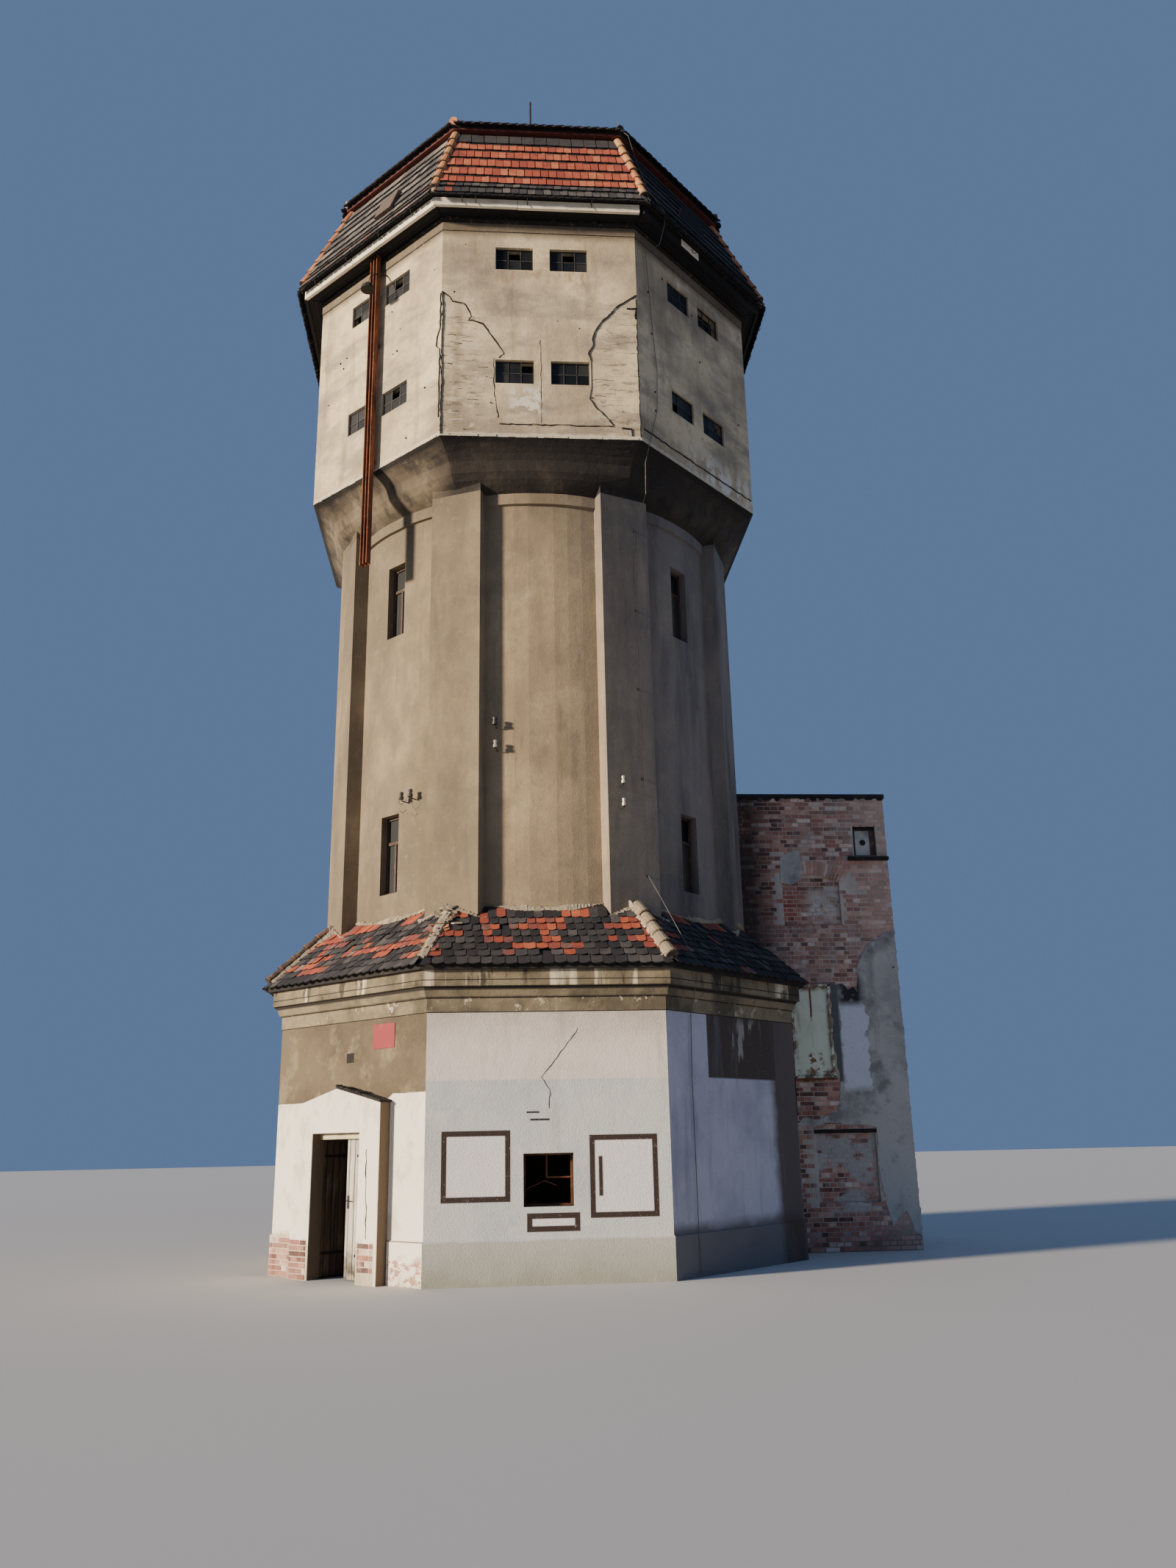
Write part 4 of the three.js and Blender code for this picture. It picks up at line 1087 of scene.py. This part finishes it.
def eaves():
    boards, shade, soffit, hooks, bands = (Build() for _ in range(5))
    for f in range(8):
        reach = (EAVE_A + 0.04) * T
        cuts = [-reach, vary(-0.5, 0.2), reach - (0.07 if f == 0 else 0.0)]
        for s0, s1 in zip(cuts, cuts[1:]):
            # The fascia on faces 1, 2 and 6 is made near-black: painted shade.
            build = shade if f in (1, 2, 6) else boards
            low = FASCIA_Z + vary(-0.008, 0.004)
            build.block(f, s0 + 0.004, s1 - 0.004, EAVE_A - 0.001, EAVE_A + 0.055, low, 17.262)
        # Soffit boards in near-black: painted shade.
        for i in range(3):
            a = 4.02 + i * 0.088
            soffit.block(f, -a * T, a * T, a, a + 0.082, TANK_TOP - 0.014, TANK_TOP - 0.002)
        for s in (-1.32, -1.09, -0.215, 0.883) if f == 0 else (-1.3, -0.4, 0.5, 1.35):
            hooks.tube([on_face(f, s, EAVE_A + a, z) for a, z in HOOK], 0.006)
        for a, z0, z1 in ((4.012, 16.88, 17.035), (4.035, 17.07, 17.1)):
            bands.block(f, -a * T, a * T, 3.99, a, z0, z1)
    boards.block(1, -0.72, -0.2, EAVE_A + 0.05, EAVE_A + 0.06, FASCIA_Z, 17.255)
    bands.make("tank_top_bands", TANK, "tank_plaster")
    shade.make("eaves_fascia_painted_shade", BLACK, "timber")
    boards.make("eaves_fascia_boards", CREAM, "timber")
    soffit.make("eaves_soffit_painted_shade", BLACK, "timber")
    hooks.make("gutter_hooks", IRON, "iron")


eaves()


# Windows
def tank_windows():
    bars = Build()
    panes = Build()
    missing = {(0, 2): [1], (0, 3): [1], (0, 0): [2], (1, 3): range(-3, 3), (7, 3): [1]}
    for f in range(8):
        for w, (s0, s1, z0, z1) in enumerate(TANK_WINDOWS):
            a0 = 3.94
            a1 = 3.965
            bars.bars(f, a0, a1, rim(s0, s1, z0, z1, 0.016, 0.016))
            width = (s1 - s0) / 3
            middle = (z0 + z1) / 2
            bars.block(f, s0, s1, a0 + 0.004, a1 - 0.004, middle - 0.008, middle + 0.008)
            for c in (1, 2):
                s = s0 + c * width
                bars.block(f, s - 0.008, s + 0.008, a0 + 0.004, a1 - 0.004, z0, z1)
            for c in range(3):
                for r in range(2):
                    number = c + 3 * r
                    if number - 3 in missing.get((f, w), []) or rng.random() < 0.08:
                        continue
                    panes.block(f, s0 + c * width + 0.01, s0 + (c + 1) * width - 0.01, a0 + 0.008, a0 + 0.012,
                                z0 + 0.012 if r == 0 else middle, middle if r == 0 else z1 - 0.012,
                                vary(0.1, 0.75))
    bars.make("tank_window_bars", STEEL_BAR, "iron")
    panes.make("tank_window_panes", GLASS, "glass")


def shaft_windows():
    frames = Build()
    panes = Build()
    for f in (1, 3, 5, 7):
        for z0, z1, transom in SHAFT_WINDOWS:
            frames.bars(f, 3.24, 3.29, rim(-0.21, 0.21, z0, z1, 0.045, 0.05))
            frames.block(f, -0.21, 0.21, 3.24, 3.29, transom - 0.025, transom + 0.025)
            frames.block(f, -0.02, 0.02, 3.245, 3.285, z0, transom)
            for s0, s1, low, high, tones in ((-0.18, -0.015, z0 + 0.03, transom, (0.1, 0.4)),
                                             (0.015, 0.18, z0 + 0.03, transom, (0.5, 0.95)),
                                             (-0.18, 0.18, transom, z1 - 0.03, (0.1, 0.4))):
                panes.block(f, s0, s1, 3.26, 3.265, low, high, vary(*tones))
    frames.make("shaft_window_frames", FRAME, "timber")
    panes.make("shaft_window_panes", GLASS, "glass")


tank_windows()
shaft_windows()


# Cracked render on the tank storey's front
LEFT_CRACK = [(-1.655, 15.62), (-1.606, 15.589), (-1.52, 15.522), (-1.47, 15.428), (-1.358, 15.407),
              (-1.256, 15.373), (-1.21, 15.28), (-1.155, 15.139), (-1.2, 15.065), (-1.088, 15.047),
              (-0.954, 14.998), (-0.847, 14.82), (-0.713, 14.622), (-0.602, 14.423), (-0.69, 14.34)]
RIGHT_CRACK = [(1.655, 15.67), (1.638, 15.664), (1.47, 15.544), (1.345, 15.459), (1.176, 15.26),
               (1.037, 15.111), (0.924, 14.917), (0.88, 14.757), (0.892, 14.664), (0.807, 14.473),
               (0.84, 14.34)]
SHEET_FOOT = [(-0.775, 14.33), (-0.77, 13.65), (-0.7, 13.2), (-0.685, 13.09), (1.188, 13.09),
              (1.125, 13.21), (0.893, 13.46), (0.803, 13.609), (0.84, 13.82)]
CRACKS = [(0, 0.018, LEFT_CRACK), (0, 0.018, RIGHT_CRACK),
          (0, 0.009, [(0.0, 14.71), (0.01, 13.9), (0.0, 13.12)]),
          (0, 0.01, [(-0.685, 13.088), (0.2, 13.092), (1.188, 13.088)]),
          (0, 0.014, [(-0.775, 14.33), (-0.77, 13.65), (-0.7, 13.2)]),
          (0, 0.012, [(0.803, 13.609), (0.893, 13.46), (1.125, 13.21), (1.189, 13.121)]),
          (0, 0.02, [(1.332, 13.065), (1.491, 13.055), (1.5, 12.92)]),
          (0, 0.03, [(1.48, 15.4), (1.644, 15.406), (1.624, 15.197)]),
          (0, 0.014, [(-1.64, 15.6), (-1.625, 15.1), (-1.645, 14.5), (-1.63, 13.9), (-1.645, 13.3),
                      (-1.635, 12.88)]),
          (7, 0.018, [(1.645, 15.6), (1.64, 14.9), (1.57, 14.75), (1.55, 14.6), (1.64, 14.5), (1.635, 13.2)]),
          (0, 0.012, [(1.64, 15.6), (1.635, 14.2), (1.645, 12.9)]),
          (1, 0.014, [(-1.6, 13.09), (-0.4, 13.085), (0.8, 13.09), (1.6, 13.09)])]


def tank_render():
    build = Build()
    outline = crooked(LEFT_CRACK, 31) + SHEET_FOOT + crooked(RIGHT_CRACK, 32)[::-1]
    outline += [(1.655, 16.86), (-1.655, 16.86)]
    holes = [square(s0 - 0.003, s1 + 0.003, z0 - 0.003, z1 + 0.003) for s0, s1, z0, z1 in TANK_WINDOWS]
    build.sheet([outline] + holes, on_wall(0, TANK_A), 0.014)
    for f in (7, 0, 1):
        s = -1.64
        while s < 1.58:
            length = vary(0.04, 0.16)
            if rng.random() < 0.8:
                build.block(f, s, s + length, TANK_A - 0.002, TANK_A + vary(0.004, 0.014), TANK_Z + 0.001,
                            TANK_Z + vary(0.012, 0.05))
            s += length
    build.make("tank_front_render", TANK, "tank_plaster")


def tank_cracks():
    build = Build()
    # Cracks as near-black strips, painted shade in their gaps, and small near-black chips.
    for seed, (f, width, line) in enumerate(CRACKS):
        build.ribbon(on_wall(f, TANK_A), line, width, 0.0155, seed)
    for i in range(30):
        side = rng.choice((-1, 1))
        s = side * vary(0.85, 1.6)
        z = vary(12.95, 15.2 if abs(s) > 1.3 else 14.2)
        reach = vary(0.04, 0.2)
        line = [(s, z), (s + reach * 0.5, z + vary(-0.02, 0.02)), (s + reach, z + vary(-0.02, 0.02))]
        if s + reach < 1.64:
            build.ribbon(on_wall(0, TANK_A), line, vary(0.005, 0.012), 0.0015, 50 + i)
    for i in range(30):
        f = rng.choice((7, 7, 1, 0))
        s = vary(-1.5, 1.5)
        z = vary(13.0, 16.6)
        size = vary(0.008, 0.022)
        chip = [(s - size, z), (s, z - size), (s + size, z + 0.3 * size), (s, z + size)]
        build.plate(f, chip, TANK_A, TANK_A + 0.0155)
    build.make("tank_wall_cracks", BLACK, "tank_plaster")


tank_render()
tank_cracks()


# Doorway side and base front
def door_side():
    dark = Build()
    coping = [(0.0, 2.62), (0.54, 2.498), (0.985, 2.395), (0.985, 2.43), (0.54, 2.538), (0.1, 2.645),
              (0.0, 2.65)]
    dark.plate(7, coping, 4.07, 4.288)
    for i in range(11):
        s = i * 0.05
        z = 2.645 - s * 0.235 + vary(-0.005, 0.012)
        reach = vary(0.06, 0.11)
        tile = [(s, z), (s + reach, z - 0.03), (s + reach + 0.01, z - 0.01), (s + 0.015, z + 0.022)]
        dark.plate(7, tile, 4.08 + vary(0.0, 0.12), 4.3)
    # A near-black rectangle for the vent niche: painted shade; then a crack as a dark line, painted shade in
    # its gap.
    dark.block(7, -0.055, 0.112, BASE_A - 0.001, BASE_A + 0.003, 2.985, 3.125)
    dark.ribbon(on_wall(7, 4.265), [(0.705, 1.766), (0.72, 1.3), (0.747, 0.592)], 0.016, 0.003, 71)
    dark.make("door_gable_coping", SHADE, "roof_tile")
    plate = Build()
    plate.block(7, 0.542, 1.014, BASE_A + 0.002, BASE_A + 0.009, 3.15, 3.5)
    plate.make("red_plate", REDPLATE, "steel_paint")
    bricks = Build()
    for seed, a, s0, s1, z0, z1 in ((21, 4.095, -1.69, -0.98, 0.0, 0.54),
                                    (22, 4.265, -0.97, -0.58, 0.0, 0.54), (23, 4.265, 0.56, 0.9, 0.23, 0.56)):
        brick_wall(bricks, 7, a, s0, s1, z0, z1, seed)
    bricks.make("door_side_bricks", BRICK, "brick")
    for body, s0, s1, a0, a1 in (("door_right", 0.22, 0.605, 4.03, 4.036),
                                 ("door_left", -0.57, -0.564, 3.62, 4.0)):
        iron = Build()
        iron.bars(7, a0, a1, [(s0, s1, 0.32, 0.36), (s0, s1, 1.66, 1.7)])
        if body == "door_right":
            iron.block(7, 0.03, 0.075, 4.03, 4.036, 0.96, 1.14)
            iron.tube(path(7, [(0.05, 4.03, 1.07), (0.05, 4.07, 1.07), (0.14, 4.07, 1.065)]), 0.009)
        else:
            iron.block(7, -0.57, -0.564, 3.45, 3.495, 0.96, 1.14)
        iron.make(body + "_ironwork", IRON, "iron", body)


def base_front_details():
    crack = Build()
    # A crack as a near-black line: painted shade in its gap.
    line = [(0.425, 3.338), (0.321, 3.188), (-0.094, 2.679), (0.027, 2.508), (0.015, 2.256)]
    crack.ribbon(on_wall(0, BASE_A), line, 0.009, 0.002, 72)
    crack.make("base_front_crack", BLACK, "plaster")
    scraps = Build()
    scraps.bars(0, 3.8, 3.83, ((-0.343, -0.31, 0.985, 1.665), (0.31, 0.338, 0.985, 1.665),
                               (-0.31, 0.31, 0.985, 1.01), (-0.31, 0.31, 1.64, 1.665),
                               (-0.03, -0.008, 1.34, 1.64), (-0.008, 0.31, 1.34, 1.36)))
    scraps.tube(path(0, [(-0.3, 3.84, 1.2), (-0.05, 3.87, 1.31), (0.12, 3.83, 1.24)]), 0.008)
    scraps.make("base_window_scraps", RUST, "steel_rust")


# Lightning conductor, wall insulators
UPPER_LINE = [(-1.52, 3.84, 19.28), (-1.28, 3.8, 18.98), (-1.66, 4.32, 17.72), (-1.318, 4.42, 17.39),
              (-1.326, 4.42, 17.13), (-1.2, 4.2, 16.9), (-1.422, 4.05, 16.69), (-1.277, 4.03, 15.12),
              (-1.196, 4.03, 14.4), (-1.242, 4.03, 13.61), (-1.487, 4.03, 12.85), (-1.4, 3.86, 12.6),
              (-1.263, 3.74, 12.13)]
SHAFT_LINE = [(0.185, 11.56), (0.165, 10.11), (0.164, 8.74), (0.18, 7.24), (0.215, 5.69)]
LOWER_LINE = [(-1.463, 3.9, 5.24), (-1.211, 4.23, 4.4), (-1.135, 4.26, 4.33), (-1.13, 4.24, 4.05),
              (-1.13, 4.1, 3.55), (-1.15, 4.09, 2.6), (-1.16, 4.1, 0.6), (-1.16, 4.12, 0.05)]


def wall_clip(build, f, s, a, z):
    build.tube(path(f, [(s, a - 0.01, z), (s, a + 0.03, z)]), 0.008)
    build.block(f, s - 0.02, s + 0.02, a, a + 0.008, z - 0.02, z + 0.02)


def conductor():
    build = Build()
    build.tube(path(0, [(1.5, 3.6, 19.52), (1.5, 3.62, 19.77)]), 0.008)
    build.tube(path(0, [(1.5, 3.62, 19.6), (1.28, 3.66, 19.53), (1.069, 3.66, 19.55)]), 0.005)
    upper = path(0, [(1.5, 3.62, 19.6)]) + path(1, UPPER_LINE)
    build.tube(upper, 0.006)
    middle = path(0.5, [(s, PILASTER_A + 0.027, z) for s, z in SHAFT_LINE])
    iron = Build()
    iron.tube(upper[-1:] + middle, 0.005)
    build.tube(middle[-1:] + path(1, LOWER_LINE), 0.006)
    for s, z in SHAFT_LINE:
        wall_clip(iron, 0.5, s, PILASTER_A, z)
    iron.make("lightning_conductor_shaft", IRON, "iron")
    for s, z in ((-1.277, 15.12), (-1.242, 13.61)):
        wall_clip(build, 1, s, TANK_A, z)
    build.make("lightning_conductor", CABLE, "iron")


def insulator(iron, bells, f, s, a, z, tone):
    """A bent iron pin with a porcelain bell on its end."""
    place = on_face(f, s, a, z)
    out = axes(f)[1]
    iron.tube([place - out * 0.02, place + out * 0.11, place + out * 0.13 + UP * 0.05], 0.009)
    foot = place + out * 0.13 + UP * 0.02
    for low, high, radius in ((0.0, 0.045, 0.042), (0.045, 0.075, 0.03), (0.075, 0.115, 0.037)):
        bells.tube([foot + UP * low, foot + UP * high], radius, tone, 9)


def insulators():
    iron = Build()
    bells = Build()
    for az, z, tone in ((-12.1, 8.05, 0.1), (-11.9, 7.67, 0.95), (-38.7, 7.03, 0.2), (-35.7, 7.05, 0.2)):
        insulator(iron, bells, az / 45, 0.0, PANEL_R, z, tone)
    for z, tone in ((7.07, 0.9), (6.71, 0.9)):
        insulator(iron, bells, 0.5, -0.22, PILASTER_A, z, tone)
    loop = [(-38.7, 0.16, 7.1), (-38.4, 0.2, 6.98), (-37.5, 0.21, 6.93), (-36.4, 0.2, 6.97),
            (-35.7, 0.16, 7.12)]
    iron.tube([at_angle(az, PANEL_R + out, z) for az, out, z in loop], 0.004)
    iron.tube([at_angle(az, PANEL_R + out * 0.8, z - 0.12) for az, out, z in loop[1:4]], 0.004)
    iron.make("insulator_pins", IRON, "iron")
    bells.make("insulator_bells", PORCELAIN, "glass")


# Annex brickwork
BRICK_H = 0.067
BRICK_LENGTH = 0.252
COURSE = 0.077
JOINT = 0.011
EDGE = 0.004
ARCH_X = 4.851
ARCH_Z = 5.416
FRONT_HOLES = [(4.336, 5.366, 5.36, 6.287), (4.629, 5.647, 0.747, 1.865), (5.692, 6.103, 6.631, 7.19),
               (4.35, 5.03, 2.76, 4.35), (5.562, 6.29, 6.53, 6.61)]
RENDER_EDGE = [(5.06, 4.36), (5.16, 4.33), (5.28, 4.35), (5.36, 4.24), (5.46, 4.3), (5.55, 4.18),
               (5.56, 4.4), (5.55, 4.62), (5.64, 4.8), (5.74, 4.98), (5.88, 5.08), (6.1, 5.22), (6.2, 5.26),
               (6.288, 5.3), (6.288, 0.22), (6.15, 0.3), (6.05, 0.62), (5.92, 0.5), (5.8, 0.36),
               (5.72, 0.8), (5.66, 1.3), (5.67, 1.95), (5.3, 1.99), (4.9, 2.03), (4.6, 1.97), (4.3, 2.02),
               (4.42, 2.12), (4.7, 2.1), (5.03, 2.2), (5.1, 2.5), (5.12, 2.8), (5.06, 3.3)]


def brick_wall(build, f, a, s_lo, s_hi, z_lo, z_hi, seed, keep=None):
    """Courses of bricks on a plane; keep(middle, height, start, end) says which stay."""
    local = random.Random(seed)
    for c in range(int(z_lo / COURSE), int(z_hi / COURSE)):
        z0 = c * COURSE + JOINT / 2
        z1 = z0 + BRICK_H
        length = BRICK_LENGTH / 2 if c % 2 else BRICK_LENGTH
        s = s_lo - (length / 2 if c % 2 else 0.0) + local.uniform(-0.01, 0.01)
        while s < s_hi:
            end = s + length + local.uniform(-0.004, 0.004)
            s0 = max(s + JOINT / 2, s_lo)
            s1 = min(end - JOINT / 2, s_hi)
            s = end
            if s1 - s0 < 0.03 or keep and not keep((s0 + s1) / 2, (z0 + z1) / 2, s0, s1):
                continue
            if local.random() < 0.012:
                continue
            tone = local.choice((0.15, 0.35, 0.5, 0.5, 0.62, 0.75, 0.9)) + local.uniform(-0.08, 0.08)
            low = z0 + local.uniform(-0.002, 0.002)
            front = square(s0 + EDGE, s1 - EDGE, low + EDGE, z1 - EDGE)
            back = square(s0, s1, low, z1)
            build.solid(flat(f, a - EDGE, back), flat(f, a + local.uniform(0.003, 0.009), front), tone)


def annex_bricks():
    def keep_front(x, z, x0, x1):
        if x0 < (4.08 if z < 4.2 else 3.4):
            return False
        if any(x1 > h[0] and x0 < h[1] and h[2] < z < h[3] for h in FRONT_HOLES):
            return False
        r = math.hypot(x - ARCH_X, z - ARCH_Z)
        return not (0.87 < r < 1.13 and x > 4.69 and z > 5.9)

    def keep_rear(s, z, s0, s1):
        return -s1 > (BASE_A * math.sqrt(2) - ANNEX_Y1 + 0.05 if z < 4.2 else 2.75)

    front, side, rear = (Build() for _ in range(3))
    brick_wall(front, 0, ANNEX_A, 3.4, ANNEX_X1, 0.0, ANNEX_TOP, 3, keep_front)
    brick_wall(front, 0, ANNEX_A - 0.06, 4.34, 5.36, 5.36, 6.28, 5)
    brick_wall(front, 0, ANNEX_A - 0.06, 4.63, 5.645, 0.75, 1.86, 6)
    for i in range(13):
        q = math.radians(99 - i * 3.75)
        corners = ((0.876, -0.02236), (0.876, 0.02236), (1.122, 0.0286), (1.122, -0.0286))
        ring = [(ARCH_X + math.cos(q) * r - math.sin(q) * w, ARCH_Z + math.sin(q) * r + math.cos(q) * w)
                for r, w in corners]
        proud = [on_face(0, x, ANNEX_A + vary(0.006, 0.012), z) for x, z in ring]
        front.solid(flat(0, ANNEX_A - EDGE, ring), proud, vary(0.62, 0.95))
    brick_wall(side, 2, ANNEX_X1, ANNEX_Y, ANNEX_Y1, 0.0, ANNEX_TOP, 8)
    brick_wall(rear, 4, ANNEX_Y1, -ANNEX_X1, -2.6, 0.0, ANNEX_TOP, 9, keep_rear)
    front.make("annex_front_bricks", BRICK, "brick")
    side.make("annex_side_bricks", BRICK, "brick")
    rear.make("annex_rear_bricks", BRICK, "brick")


def annex_render():
    build = Build()
    build.plate(0, crooked(RENDER_EDGE + RENDER_EDGE[:1], 41, 0.07, 0.02)[:-1], ANNEX_A, ANNEX_A + 0.018)
    patch = [(4.31, 6.14), (4.5, 6.1), (4.69, 6.2), (4.7, 6.5), (4.69, 6.74), (4.5, 6.7), (4.33, 6.6)]
    build.plate(0, patch, ANNEX_A, ANNEX_A + 0.012)
    build.make("annex_render_patch", GREY, "plaster")
    steel = Build()
    steel.bars(0, ANNEX_A + 0.002, ANNEX_A + 0.03, ((4.345, 4.385, 2.78, 4.34), (5.0, 5.04, 2.78, 4.34),
                                                    (4.345, 5.04, 4.31, 4.345), (4.345, 5.04, 2.765, 2.8)))
    steel.make("annex_door_frame", GREEN, "steel_paint")


def annex_fittings():
    plate, dark, plank, iron, rusty, felt = (Build() for _ in range(6))
    niche = ANNEX_A - 0.04
    plate.block(0, 5.73, 6.0, niche - 0.01, niche, 6.65, 7.1)
    plate.make("annex_niche_plate", GREY, "plaster")
    dark.block(0, 5.694, 5.73, niche - 0.01, niche + 0.01, 6.632, 7.188)
    dark.block(0, 5.73, 6.1, niche - 0.01, niche + 0.012, 7.1, 7.188)
    # A near-black disc for the round hole in the plate: painted shade.
    dark.tube(path(0, [(5.87, niche - 0.004, 6.88), (5.87, niche + 0.004, 6.88)]), 0.055, 0.5, 12)
    dark.block(0, 4.6, 5.68, ANNEX_A - 0.02, ANNEX_A + 0.014, 1.862, 1.925)
    dark.make("annex_dark_frames", SHADE, "timber")
    plank.block(0, 6.0, 6.1, niche - 0.01, niche + 0.014, 6.632, 7.1)
    plank.make("annex_niche_plank", FRAME, "timber")
    iron.tube(path(0, [(4.33, ANNEX_A + 0.02, z) for z in (2.76, 2.45, 2.17)]), 0.012)
    for x, z in ((4.12, 3.27), (4.33, 2.76), (4.33, 2.17), (6.2, 4.62)):
        iron.tube(path(0, [(x, ANNEX_A - 0.02, z), (x, ANNEX_A + 0.09, z)]), 0.009)
    iron.make("annex_pins", IRON, "iron")
    rusty.block(0, 4.33, 5.06, ANNEX_A + 0.002, ANNEX_A + 0.045, 2.735, 2.765)
    rusty.make("annex_door_sill", RUST, "steel_rust")
    x = 3.5
    while x < ANNEX_X1 - 0.1:
        reach = vary(0.06, 0.3)
        low = ANNEX_TOP - vary(0.0, 0.05)
        ring = [(x, ANNEX_TOP + 0.03), (x + reach, ANNEX_TOP + 0.03), (x + reach * 0.8, low),
                (x + reach * 0.3, low - vary(0.0, 0.02))]
        felt.plate(0, ring, ANNEX_A + 0.012, ANNEX_A + 0.018)
        x += reach
    felt.make("annex_felt_edge", FELT, "bitumen")


annex_bricks()
annex_render()
annex_fittings()
door_side()
base_front_details()
conductor()
insulators()


# Floor, light and camera
SUN_AZIMUTH = -67
SUN_HEIGHT = math.radians(11)
SUN_POWER = 8.4
SUN_COLOUR = (1.0, 0.86, 0.68)
SKY_COLOUR = (0.34, 0.54, 1.0, 1)
SKY_POWER = 0.33
CAMERA = (-0.748, -21.248, 1.802)
YAW = 0.0808
PITCH = 0.289
ROLL = -0.0207
FOCAL_PX = 1638.3
PHOTO_HEIGHT_PX = 2133
SENSOR = 36


def floor_and_light():
    mesh = bpy.data.meshes.new("floor")
    mesh.from_pydata([(x, y, -0.001) for x, y in square(-120, 120, -120, 120)], [], [(0, 1, 2, 3)])
    floor = bpy.data.objects.new("floor", mesh)
    bpy.context.scene.collection.objects.link(floor)
    mesh.materials.append(Finish("pale_floor", "cbc9c4", 0.9).done())
    world = bpy.data.worlds.new("studio")
    world.use_nodes = True
    back = world.node_tree.nodes["Background"]
    back.inputs["Color"].default_value = SKY_COLOUR
    back.inputs["Strength"].default_value = SKY_POWER
    bpy.context.scene.world = world
    key = bpy.data.lights.new("key", "SUN")
    key.energy = SUN_POWER
    key.angle = math.radians(6)
    key.color = SUN_COLOUR
    lamp = bpy.data.objects.new("key", key)
    towards = at_angle(SUN_AZIMUTH, math.cos(SUN_HEIGHT), math.sin(SUN_HEIGHT))
    lamp.rotation_euler = towards.to_track_quat("Z", "Y").to_euler()
    bpy.context.scene.collection.objects.link(lamp)


def camera():
    forward = Vector((math.sin(YAW) * math.cos(PITCH), math.cos(YAW) * math.cos(PITCH), math.sin(PITCH)))
    level = Vector((math.cos(YAW), -math.sin(YAW), 0))
    lift = level.cross(forward)
    right = level * math.cos(ROLL) + lift * math.sin(ROLL)
    up = lift * math.cos(ROLL) - level * math.sin(ROLL)
    data = bpy.data.cameras.new("camera")
    data.sensor_width = SENSOR
    data.sensor_fit = "AUTO"
    data.lens = FOCAL_PX / PHOTO_HEIGHT_PX * SENSOR
    data.clip_end = 300
    made = bpy.data.objects.new("camera", data)
    turn = Matrix((right, up, -forward)).transposed().to_4x4()
    made.matrix_world = Matrix.Translation(Vector(CAMERA)) @ turn
    bpy.context.scene.collection.objects.link(made)
    bpy.context.scene.camera = made


floor_and_light()
camera()
